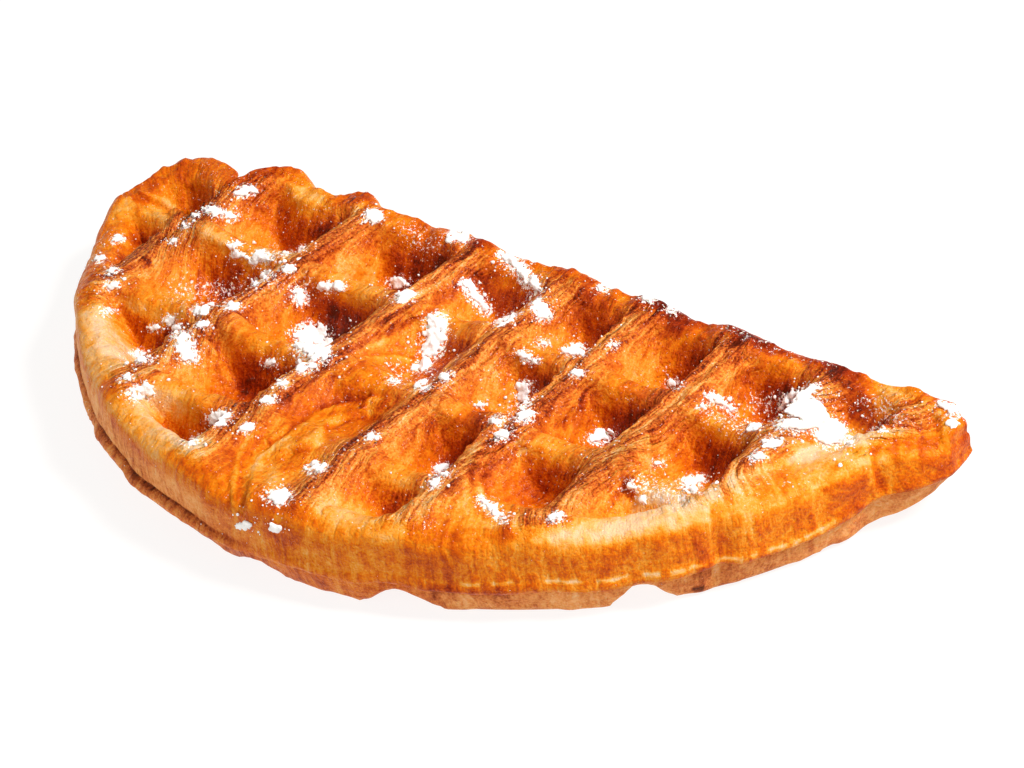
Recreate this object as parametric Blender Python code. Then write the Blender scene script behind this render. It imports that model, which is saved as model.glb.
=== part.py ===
"""A croffle: a croissant pressed flat in a waffle iron, as one solid piece of pastry.

The half moon lies on its underside. +X runs along the straight side to the pointed end,
+Y points to the straight side, +Z is up, and the origin is under the middle of the piece.
Plan sizes are given in pitches of the iron's grid and turned into metres by PITCH.
"""
import math

import bmesh
import bpy
import numpy as np

# Overall sizes
PITCH = 0.018                 # metres from one ridge of the iron's grid to the next
THICKNESS = 0.89              # underside to ridge tops
UNDERSIDE_INSET = 0.13        # how much smaller the underside is than the top, all round

# The curved side is an arc round a centre behind the straight side
ARC_CENTRE = (3.60, 3.50)
ARC_RADIUS = 4.15
ARC_START = math.radians(197.0)
ARC_END = math.radians(350.0)
ARC_FLAT = (0.07, math.radians(298.0), math.radians(20.0))    # depth, place, half width
TIP_SWELL = (0.27, math.radians(341.0), math.radians(350.0))  # height, start, end

# The straight side, with a lobe where each ridge of the grid ends
CHORD_ENDS = (-0.25, 7.97)
CHORD_Y = 3.15
CHORD_SLOPE = -0.014
LEFT_LOBE_DROP = (0.20, 0.56, 0.05)      # how far the blunt end's lobe stands back, where, how sharply
LEFT_NOTCH = (0.14, 0.57, 0.09)          # depth, place, half width
CORNER_ROUNDING = ((0.16, -0.25, 0.16), (0.10, 7.97, 0.16))  # drop, place, half width
CHORD_LOBES = (                          # height, place, half width
    (0.05, 0.15, 0.25),
    (0.13, 0.92, 0.20),
    (0.14, 1.66, 0.15),
    (0.07, 2.50, 0.45),
    (0.04, 4.15, 0.30),
)

# Ridges across the piece: place at CROSS_LEVEL, and how far they lean in each pitch of Y
CROSS_LEVEL = 2.0
CROSS_RIDGES = (
    (-0.62, 0.10), (0.52, 0.12), (1.74, 0.13), (2.93, 0.12), (3.98, 0.06),
    (4.83, 0.05), (5.79, 0.02), (6.76, -0.02), (7.62, -0.05), (8.70, -0.05),
)
# Ridges along the piece: place at LONG_LEVEL, and how far they drop in each pitch of X
LONG_LEVEL = 4.0
LONG_RIDGES = (
    (-0.84, 0.00), (0.26, 0.00), (1.15, -0.02), (2.10, -0.03), (3.04, -0.03), (4.10, 0.00),
)

# Pockets of the upper side
CREST_HALF_WIDTH = 0.085
WALL_FACING_RIGHT = 0.33
WALL_FACING_LEFT = 0.21
WALL_FACING_FRONT = 0.19
WALL_FACING_BACK = 0.22
RIM_WIDTH = 0.20
RIM_WALL = 0.24
CORNER_SOFTNESS = 0.10
CREST_SOFTNESS = 0.10
POCKET_DEPTH = 0.47
SHALLOW_POCKETS = {           # column, row: depth where the dough filled the iron less
    (0, 1): 0.18, (0, 2): 0.36, (0, 3): 0.40,
    (1, 1): 0.36, (1, 2): 0.38,
    (2, 1): 0.42,
    (3, 0): 0.05, (3, 1): 0.14, (3, 2): 0.20, (3, 3): 0.38,
    (4, 0): 0.26, (4, 1): 0.42, (4, 2): 0.44,
    (5, 0): 0.00, (5, 1): 0.32, (5, 2): 0.42, (5, 3): 0.44,
    (6, 1): 0.28, (6, 2): 0.44, (6, 3): 0.44,
    (7, 1): 0.04, (7, 2): 0.10, (7, 3): 0.42,
    (8, 2): 0.00, (8, 3): 0.00,
}
RIDGE_SAG = 0.07              # how far a long ridge sinks between two cross ridges
TIP_DROOP = (0.12, 7.40, 8.10)  # drop of the top at the pointed end, start, end
END_DROOP = (0.06, 0.60, -0.35)  # the same at the blunt end

# Pockets of the underside, where the ridges are flat because they rest on the plate
UNDER_DEPTH = 0.26
UNDER_TIP_LIFT = (0.28, 7.25, 8.05)  # rise of the underside at the pointed end, start, end
UNDER_CREST_HALF_WIDTH = 0.12
UNDER_WALL = 0.26
UNDER_RIM = 0.16
RIM_NOTCHES = (               # lift of the lower edge, X, Y, half width
    (0.13, 3.40, -0.58, 0.20),
    (0.21, 4.72, -0.42, 0.24),
    (0.26, 6.42, 0.56, 0.17),
    (0.08, 7.42, 1.82, 0.12),
    (0.10, 1.35, 0.25, 0.22),
)

NOTCH_EDGE = 0.02             # a notch ends where it would lift the edge by less than this

# The side wall, from the rim down: part of the height, outward bulge
SIDE_PROFILE = (
    (0.04, 0.040), (0.12, 0.075), (0.24, 0.095), (0.36, 0.110), (0.46, 0.125), (0.54, 0.150),
    (0.58, 0.140), (0.62, 0.085), (0.76, 0.085), (0.92, 0.065),
)
SIDE_FOLD = (0.06, 6.95, 0.98, 0.10)     # depth, X, Y, half width of the upright crease

# Mesh
COLUMNS = 176
ROWS = 76
END_STEPS = 8                 # steps of the outline across each end
NORMAL_SPAN = 3               # outline steps each way that an outward direction is taken over
TRIANGLES = 9000
LEVEL_BAND = 0.00012          # metres: what lies this close to the plate is flat on it


def bell(distance, half_width):
    """A smooth bump: 1 at no distance, falling to nothing past about twice the half width."""
    return np.exp(-(distance / half_width) ** 2)


def ramp(value, start, end):
    """A smooth step from 0 at start to 1 at end."""
    part = np.clip((value - start) / (end - start), 0.0, 1.0)
    return part * part * (3.0 - 2.0 * part)


def soft_least(values, softness):
    """The least of several arrays, with the corners between them rounded."""
    total = sum(np.exp(-value / softness) for value in values)
    return -softness * np.log(total)


def soft_positive(value, softness):
    """The value where it is positive and 0 elsewhere, with the corner rounded."""
    return softness * np.logaddexp(0.0, value / softness)


def near_side(part):
    """Plan points of the curved side, from the blunt end (0) to the pointed end (1)."""
    angle = ARC_START + (ARC_END - ARC_START) * part
    flat, flat_angle, flat_width = ARC_FLAT
    swell, swell_start, swell_end = TIP_SWELL
    radius = ARC_RADIUS - flat * bell(angle - flat_angle, flat_width)
    radius = radius + swell * ramp(angle, swell_start, swell_end)
    return ARC_CENTRE[0] + radius * np.cos(angle), ARC_CENTRE[1] + radius * np.sin(angle)


def far_side(part):
    """Plan points of the straight side, from the blunt end (0) to the pointed end (1)."""
    x = CHORD_ENDS[0] + (CHORD_ENDS[1] - CHORD_ENDS[0]) * part
    y = CHORD_Y + CHORD_SLOPE * x
    drop, drop_x, drop_width = LEFT_LOBE_DROP
    notch, notch_x, notch_width = LEFT_NOTCH
    y = y - drop * (1.0 - ramp(x, drop_x - drop_width, drop_x + drop_width))
    y = y - notch * bell(x - notch_x, notch_width)
    for fall, place, half_width in CORNER_ROUNDING:
        y = y - fall * bell(x - place, half_width)
    for height, place, half_width in CHORD_LOBES:
        y = y + height * bell(x - place, half_width)
    return x, y


def lattice_cell(value, lines):
    """Number of the cell that each value is in, and its distances from the lines on both sides."""
    cell = np.zeros(value.shape, dtype=int)
    for line in lines[1:-1]:
        cell = cell + (value > line)
    places = np.stack(np.broadcast_arrays(*lines))
    low = np.take_along_axis(places, cell[None], axis=0)[0]
    high = np.take_along_axis(places, cell[None] + 1, axis=0)[0]
    return cell, value - low, high - value


def grid_lines(x, y):
    """Where the ridges of the grid run beside each plan point."""
    cross = [place + lean * (y - CROSS_LEVEL) for place, lean in CROSS_RIDGES]
    along = [place + lean * (x - LONG_LEVEL) for place, lean in LONG_RIDGES]
    return cross, along


def rim_distance(x, y, outline):
    """Distance of each plan point from the outline."""
    away = np.full(x.shape, np.inf)
    for corner_x, corner_y in outline:
        away = np.minimum(away, np.hypot(x - corner_x, y - corner_y))
    return away


def pocket_depths(column, row):
    """Full depth of the pocket that each plan point is in."""
    depth = np.full(column.shape, POCKET_DEPTH)
    for (pocket_column, pocket_row), pocket_depth in SHALLOW_POCKETS.items():
        depth[(column == pocket_column) & (row == pocket_row)] = pocket_depth
    return depth


def upper_height(x, y, rim):
    """Height of the upper side over each plan point."""
    cross, along = grid_lines(x, y)
    column, from_left, from_right = lattice_cell(x, cross)
    row, from_front, from_back = lattice_cell(y, along)
    walls = (
        (from_left - CREST_HALF_WIDTH) / WALL_FACING_RIGHT,
        (from_right - CREST_HALF_WIDTH) / WALL_FACING_LEFT,
        (from_back - CREST_HALF_WIDTH) / WALL_FACING_FRONT,
        (from_front - CREST_HALF_WIDTH) / WALL_FACING_BACK,
        (rim - RIM_WIDTH) / RIM_WALL,
        np.ones(x.shape),
    )
    sunk = soft_positive(soft_least(walls, CORNER_SOFTNESS), CREST_SOFTNESS)
    crossing = np.minimum(from_left, from_right) / (from_left + from_right)
    sag = RIDGE_SAG * np.sin(math.pi * crossing) ** 2
    tip_drop, tip_start, tip_end = TIP_DROOP
    end_drop, end_start, end_end = END_DROOP
    droop = tip_drop * ramp(x, tip_start, tip_end) + end_drop * ramp(-x, -end_start, -end_end)
    return THICKNESS - droop - sag - pocket_depths(column, row) * sunk


def lower_height(x, y, rim):
    """Height of the underside over each plan point: 0 on the ridges, more in the pockets."""
    cross, along = grid_lines(x, y)
    _, from_left, from_right = lattice_cell(x, cross)
    _, from_front, from_back = lattice_cell(y, along)
    walls = (
        (np.minimum(from_left, from_right) - UNDER_CREST_HALF_WIDTH) / UNDER_WALL,
        (np.minimum(from_front, from_back) - UNDER_CREST_HALF_WIDTH) / UNDER_WALL,
        (rim - UNDER_RIM) / UNDER_WALL,
        np.ones(x.shape),
    )
    lift, lift_start, lift_end = UNDER_TIP_LIFT
    height = UNDER_DEPTH * np.clip(soft_least(walls, CORNER_SOFTNESS), 0.0, 1.0)
    height = height + lift * ramp(x, lift_start, lift_end)
    for lift, notch_x, notch_y, half_width in RIM_NOTCHES:
        near = lift * bell(np.hypot(x - notch_x, y - notch_y), half_width)
        height = np.maximum(height, np.where(near > NOTCH_EDGE, near, 0.0))
    return height


def box_surface():
    """A closed box of quads whose top and bottom are grids and whose side has a row for each level."""
    shape = bmesh.new()
    bmesh.ops.create_grid(shape, x_segments=COLUMNS, y_segments=ROWS, size=0.5)
    top = shape.faces[:]
    for face in top:
        face.normal_flip()
    lifted = bmesh.ops.extrude_face_region(shape, geom=top)
    raised = [item for item in lifted["geom"] if isinstance(item, bmesh.types.BMVert)]
    bmesh.ops.translate(shape, vec=(0.0, 0.0, 1.0), verts=raised)
    upright = [edge for edge in shape.edges if abs(edge.verts[0].co.z - edge.verts[1].co.z) > 0.5]
    bmesh.ops.subdivide_edges(shape, edges=upright, cuts=len(SIDE_PROFILE), use_grid_fill=True)
    bmesh.ops.recalc_face_normals(shape, faces=shape.faces)
    return shape


def plan_point(across, along):
    """Plan points of the upper side for places in the unit square."""
    near_x, near_y = near_side(across)
    far_x, far_y = far_side(across)
    return near_x + (far_x - near_x) * along, near_y + (far_y - near_y) * along


def outline_points():
    """The closed outline of the upper side, a point for each step of the grid."""
    across = np.linspace(0.0, 1.0, COLUMNS + 1)
    ends = np.linspace(0.0, 1.0, END_STEPS + 1)[1:-1]
    front = np.stack(plan_point(across, 0.0 * across), axis=1)
    tip = np.stack(plan_point(1.0 + 0.0 * ends, ends), axis=1)
    back = np.stack(plan_point(across[::-1], 1.0 + 0.0 * across), axis=1)
    blunt = np.stack(plan_point(0.0 * ends, ends[::-1]), axis=1)
    return np.concatenate((front, tip, back, blunt))


def outward(x, y, outline):
    """Unit vectors that point out of the outline at plan points on it."""
    ahead = np.roll(outline, -NORMAL_SPAN, axis=0) - np.roll(outline, NORMAL_SPAN, axis=0)
    normals = np.stack((ahead[:, 1], -ahead[:, 0]), axis=1)
    normals = normals / np.linalg.norm(normals, axis=1)[:, None]
    gaps = np.hypot(x[:, None] - outline[None, :, 0], y[:, None] - outline[None, :, 1])
    nearest = np.argmin(gaps, axis=1)
    return normals[nearest]


def shaped(points):
    """Plan and height, in pitches, of the box's points (each from -0.5 to 0.5, and 0 to 1 in Z)."""
    across = points[:, 0] + 0.5
    along = points[:, 1] + 0.5
    level = points[:, 2]
    outline = outline_points()
    x, y = plan_point(across, along)
    rim = rim_distance(x, y, outline)
    centre = outline.mean(axis=0)
    reach = np.abs(outline - centre).max(axis=0)
    low_x = centre[0] + (x - centre[0]) * (1.0 - UNDERSIDE_INSET / reach[0])
    low_y = centre[1] + (y - centre[1]) * (1.0 - UNDERSIDE_INSET / reach[1])
    top = upper_height(x, y, rim)
    bottom = lower_height(low_x, low_y, rim)

    rows = len(SIDE_PROFILE) + 1
    step = np.rint((1.0 - level) * rows).astype(int)
    down = np.array([0.0] + [part for part, _ in SIDE_PROFILE] + [1.0])[step]
    bulge = np.array([0.0] + [swell for _, swell in SIDE_PROFILE] + [0.0])[step]
    depth, fold_x, fold_y, half_width = SIDE_FOLD
    fold = depth * bell(np.hypot(x - fold_x, y - fold_y), half_width)
    bulge = bulge - fold * np.sin(math.pi * down)
    out = outward(x, y, outline)
    placed = np.empty(points.shape)
    placed[:, 0] = x + (low_x - x) * down + out[:, 0] * bulge
    placed[:, 1] = y + (low_y - y) * down + out[:, 1] * bulge
    placed[:, 2] = top + (bottom - top) * down
    return placed


def in_place(points):
    """The points in metres, with the middle of their box over the origin and the lowest at 0."""
    points = points * PITCH
    middle = (points.max(axis=0) + points.min(axis=0)) / 2.0
    middle[2] = points[:, 2].min()
    return points - middle


def mesh_points(mesh):
    """The mesh's points as an array."""
    flat = np.empty(len(mesh.vertices) * 3)
    mesh.vertices.foreach_get("co", flat)
    return flat.reshape(-1, 3)


def set_mesh_points(mesh, points):
    """Put the mesh's points where the array says."""
    mesh.vertices.foreach_set("co", points.astype(np.float32).ravel())
    mesh.update()


def simplified(piece):
    """The piece with its mesh brought down to the wanted number of triangles, flat where it rests."""
    mesh = piece.data
    mesh.calc_loop_triangles()
    fewer = piece.modifiers.new("Fewer triangles", "DECIMATE")
    fewer.ratio = TRIANGLES / len(mesh.loop_triangles)
    fewer.use_collapse_triangulate = True
    seen = piece.evaluated_get(bpy.context.evaluated_depsgraph_get())
    light = bpy.data.meshes.new_from_object(seen)
    piece.modifiers.clear()
    piece.data = light
    points = mesh_points(light)
    points[points[:, 2] < LEVEL_BAND, 2] = 0.0
    set_mesh_points(light, points)
    return piece


def baked_pastry():
    """The material of the crust."""
    material = bpy.data.materials.new("baked_pastry")
    material.use_nodes = True
    shader = material.node_tree.nodes["Principled BSDF"]
    shader.inputs["Base Color"].default_value = (0.72, 0.28, 0.05, 1.0)
    shader.inputs["Roughness"].default_value = 0.38
    shader.inputs["Metallic"].default_value = 0.0
    return material


def croffle():
    """The croffle as one object."""
    shape = box_surface()
    mesh = bpy.data.meshes.new("croffle")
    shape.to_mesh(mesh)
    shape.free()
    set_mesh_points(mesh, in_place(shaped(mesh_points(mesh))))
    piece = bpy.data.objects.new("croffle", mesh)
    bpy.context.scene.collection.objects.link(piece)
    simplified(piece)
    piece.data.materials.clear()
    piece.data.materials.append(baked_pastry())
    piece.data.shade_smooth()
    return piece


def main():
    """Clear the scene and make the croffle."""
    for old in list(bpy.data.objects):
        bpy.data.objects.remove(old, do_unlink=True)
    croffle()


main()
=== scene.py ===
"""The looks of a croffle: a croissant pressed in a waffle iron and dusted with icing sugar.

Places in the plan, and the heights of the ridges, pockets and side wall, are in pitches of the
iron's grid, from the corner that the construction is drawn from. IronGrid.pitch turns them into
metres. Fine relief is in metres, and the radii of sugar grains are in millimetres. The finished
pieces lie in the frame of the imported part.
"""
import itertools
import logging
import math
from dataclasses import dataclass, field
from enum import Enum

import bmesh
import bpy
import numpy as np
from mathutils import Matrix, Vector
from mathutils.bvhtree import BVHTree


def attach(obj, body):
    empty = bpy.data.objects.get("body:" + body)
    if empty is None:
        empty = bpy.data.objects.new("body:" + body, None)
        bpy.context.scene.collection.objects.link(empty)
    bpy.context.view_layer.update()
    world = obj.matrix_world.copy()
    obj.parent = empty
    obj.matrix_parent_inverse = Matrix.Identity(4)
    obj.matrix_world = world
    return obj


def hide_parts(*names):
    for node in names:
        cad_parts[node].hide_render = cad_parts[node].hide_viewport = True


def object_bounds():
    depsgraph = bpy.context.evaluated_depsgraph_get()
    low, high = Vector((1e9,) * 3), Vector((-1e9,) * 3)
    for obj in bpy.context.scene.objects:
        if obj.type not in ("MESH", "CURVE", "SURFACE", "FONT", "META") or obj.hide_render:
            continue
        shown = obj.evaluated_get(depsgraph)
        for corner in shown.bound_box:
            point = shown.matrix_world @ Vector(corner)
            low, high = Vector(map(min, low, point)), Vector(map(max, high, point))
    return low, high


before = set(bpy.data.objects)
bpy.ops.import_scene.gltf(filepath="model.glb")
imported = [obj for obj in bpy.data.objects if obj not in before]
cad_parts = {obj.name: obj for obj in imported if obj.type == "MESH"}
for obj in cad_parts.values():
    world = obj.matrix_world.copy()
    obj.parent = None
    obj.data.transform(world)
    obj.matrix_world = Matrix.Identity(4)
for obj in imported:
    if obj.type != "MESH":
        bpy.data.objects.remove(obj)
CAD_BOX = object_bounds()

PASTRY_NODE = "croffle"
BODY = "root"

MILLIMETRE = 0.001

# Shares of the way down from the top to the underside: before the first a point is on the upper
# side, past the second it is on the underside, and between them it is on the side wall.
TOP_SIDE = 0.001
UNDERSIDE = 0.999

Socket = bpy.types.NodeSocket
Ray = tuple[Vector, Vector]
Grain = tuple[float, float, float, float]


def bell(distance: np.ndarray, half_width: float) -> np.ndarray:
    """A smooth bump: 1 at no distance, falling to nothing past about twice the half width."""
    return np.exp(-(distance / half_width) ** 2)


def ramp(value: np.ndarray, start: float, end: float) -> np.ndarray:
    """A smooth step from 0 at start to 1 at end."""
    part = np.clip((value - start) / (end - start), 0.0, 1.0)
    return part * part * (3.0 - 2.0 * part)


def soft_least(values: tuple[np.ndarray, ...], softness: float) -> np.ndarray:
    """The least of several arrays, with the corners between them rounded."""
    total = sum(np.exp(-value / softness) for value in values)
    return -softness * np.log(total)


def soft_positive(value: np.ndarray, softness: float) -> np.ndarray:
    """The value where it is positive and 0 elsewhere, with the corner rounded."""
    return softness * np.logaddexp(0.0, value / softness)


def linear(code: str) -> tuple[float, float, float, float]:
    """A screen colour such as F7DDB4 as the linear colour that shaders take.

    Args:
        code: six hex digits.

    Returns:
        Red, green, blue and a solid alpha, from 0 to 1.
    """
    parts = [int(code[place:place + 2], 16) / 255.0 for place in (0, 2, 4)]
    low = [part / 12.92 for part in parts]
    high = [((part + 0.055) / 1.055) ** 2.4 for part in parts]
    return (*(dim if part <= 0.04045 else full for part, dim, full in zip(parts, low, high)), 1.0)


def mesh_points(mesh: bpy.types.Mesh) -> np.ndarray:
    """The mesh's points as an array.

    Args:
        mesh: any mesh.

    Returns:
        One row of X, Y and Z for each point.
    """
    flat = np.empty(len(mesh.vertices) * 3, dtype=np.float32)
    mesh.vertices.foreach_get("co", flat)
    return flat.reshape(-1, 3).astype(float)


def set_mesh_points(mesh: bpy.types.Mesh, points: np.ndarray) -> None:
    """Put the mesh's points where the array says."""
    mesh.vertices.foreach_set("co", points.astype(np.float32).ravel())
    mesh.update()


def mesh_normals(mesh: bpy.types.Mesh) -> np.ndarray:
    """The outward direction at each point of the mesh.

    Args:
        mesh: any mesh.

    Returns:
        One row of X, Y and Z for each point.
    """
    flat = np.empty(len(mesh.vertices) * 3, dtype=np.float32)
    mesh.vertex_normals.foreach_get("vector", flat)
    return flat.reshape(-1, 3).astype(float)


def select_none() -> None:
    """Leave object mode with nothing selected, so that the next operator acts on its own piece."""
    if bpy.context.mode != "OBJECT":
        bpy.ops.object.mode_set(mode="OBJECT")
    bpy.ops.object.select_all(action="DESELECT")


class Lumps:
    """Smooth random lumps: a seeded table of values, blended between its points."""

    def __init__(self, seed: int, size: int = 48) -> None:
        """Draw the table.

        Args:
            seed: which of the possible tables is drawn.
            size: points of the table each way, after which it repeats.
        """
        self.size = size
        self.table = np.random.default_rng(seed).uniform(-1.0, 1.0, (size, size, size))

    def at(self, points: np.ndarray, spacing: float | tuple[float, float, float]) -> np.ndarray:
        """The lumps' height at each point.

        Args:
            points: places, one row each.
            spacing: distance between lumps, one for all or one for each axis.

        Returns:
            A value from -1 to 1 for each point.
        """
        place = points / np.asarray(spacing)
        base = np.floor(place).astype(int)
        part = place - base
        part = part * part * (3.0 - 2.0 * part)
        total = np.zeros(len(points))
        for corner in itertools.product((0, 1), repeat=3):
            index = (base + corner) % self.size
            weight = np.prod(np.where(np.array(corner) == 1, part, 1.0 - part), axis=1)
            total += weight * self.table[index[:, 0], index[:, 1], index[:, 2]]
        return total


@dataclass(frozen=True)
class HalfMoon:
    """The outline of the upper side: a curved side, a straight side and two ends."""

    arc_centre: tuple[float, float] = (3.60, 3.50)
    arc_radius: float = 4.15
    arc_start: float = math.radians(197.0)
    arc_end: float = math.radians(350.0)
    flat: tuple[float, float, float] = (0.07, math.radians(298.0), math.radians(20.0))
    tip_swell: tuple[float, float, float] = (0.27, math.radians(341.0), math.radians(350.0))
    chord_ends: tuple[float, float] = (-0.25, 7.97)
    chord_y: float = 3.15
    chord_slope: float = -0.014
    lobe_drop: tuple[float, float, float] = (0.20, 0.56, 0.05)
    notch: tuple[float, float, float] = (0.14, 0.57, 0.09)
    corner_rounding: tuple[tuple[float, float, float], ...] = (
        (0.16, -0.25, 0.16), (0.10, 7.97, 0.16),
    )
    lobes: tuple[tuple[float, float, float], ...] = (
        (0.05, 0.15, 0.25), (0.13, 0.92, 0.20), (0.14, 1.66, 0.15), (0.07, 2.50, 0.45), (0.04, 4.15, 0.30),
    )
    end_steps: int = 8
    normal_span: float = 0.017

    def near(self, part: np.ndarray) -> tuple[np.ndarray, np.ndarray]:
        """Plan points of the curved side, from the blunt end (0) to the pointed end (1).

        Args:
            part: share of the way along the side, from 0 to 1.

        Returns:
            X and Y of each place.
        """
        angle = self.arc_start + (self.arc_end - self.arc_start) * part
        depth, flat_angle, flat_width = self.flat
        swell, swell_start, swell_end = self.tip_swell
        radius = self.arc_radius - depth * bell(angle - flat_angle, flat_width)
        radius = radius + swell * ramp(angle, swell_start, swell_end)
        return self.arc_centre[0] + radius * np.cos(angle), self.arc_centre[1] + radius * np.sin(angle)

    def far(self, part: np.ndarray) -> tuple[np.ndarray, np.ndarray]:
        """Plan points of the straight side, from the blunt end (0) to the pointed end (1).

        Args:
            part: share of the way along the side, from 0 to 1.

        Returns:
            X and Y of each place.
        """
        x = self.chord_ends[0] + (self.chord_ends[1] - self.chord_ends[0]) * part
        y = self.chord_y + self.chord_slope * x
        drop, drop_x, drop_width = self.lobe_drop
        depth, notch_x, notch_width = self.notch
        y = y - drop * (1.0 - ramp(x, drop_x - drop_width, drop_x + drop_width))
        y = y - depth * bell(x - notch_x, notch_width)
        for fall, place, half_width in self.corner_rounding:
            y = y - fall * bell(x - place, half_width)
        for height, place, half_width in self.lobes:
            y = y + height * bell(x - place, half_width)
        return x, y

    def plan(self, across: np.ndarray, along: np.ndarray) -> tuple[np.ndarray, np.ndarray]:
        """Plan points for places in the unit square.

        Args:
            across: share of the way from the blunt end to the pointed one.
            along: share of the way from the curved side to the straight one.

        Returns:
            X and Y of each place.
        """
        near_x, near_y = self.near(across)
        far_x, far_y = self.far(across)
        return near_x + (far_x - near_x) * along, near_y + (far_y - near_y) * along

    def ring(self, steps: int) -> np.ndarray:
        """The closed outline, anticlockwise, with this many steps on each long side.

        Args:
            steps: steps on each long side.

        Returns:
            One row of X and Y for each corner.
        """
        across = np.linspace(0.0, 1.0, steps + 1)
        ends = np.linspace(0.0, 1.0, self.end_steps + 1)[1:-1]
        front = np.stack(self.plan(across, 0.0 * across), axis=1)
        tip = np.stack(self.plan(1.0 + 0.0 * ends, ends), axis=1)
        back = np.stack(self.plan(across[::-1], 1.0 + 0.0 * across), axis=1)
        blunt = np.stack(self.plan(0.0 * ends, ends[::-1]), axis=1)
        return np.concatenate((front, tip, back, blunt))

    def arc_place(self, x: np.ndarray, y: np.ndarray) -> tuple[np.ndarray, np.ndarray]:
        """The angle and the radius of plan points round the arc's centre.

        Args:
            x: places along the piece, in pitches.
            y: places across the piece, in pitches.

        Returns:
            The angle and the radius of each place.
        """
        off_x = x - self.arc_centre[0]
        off_y = y - self.arc_centre[1]
        return np.arctan2(off_y, off_x) % (2.0 * math.pi), np.hypot(off_x, off_y)


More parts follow.
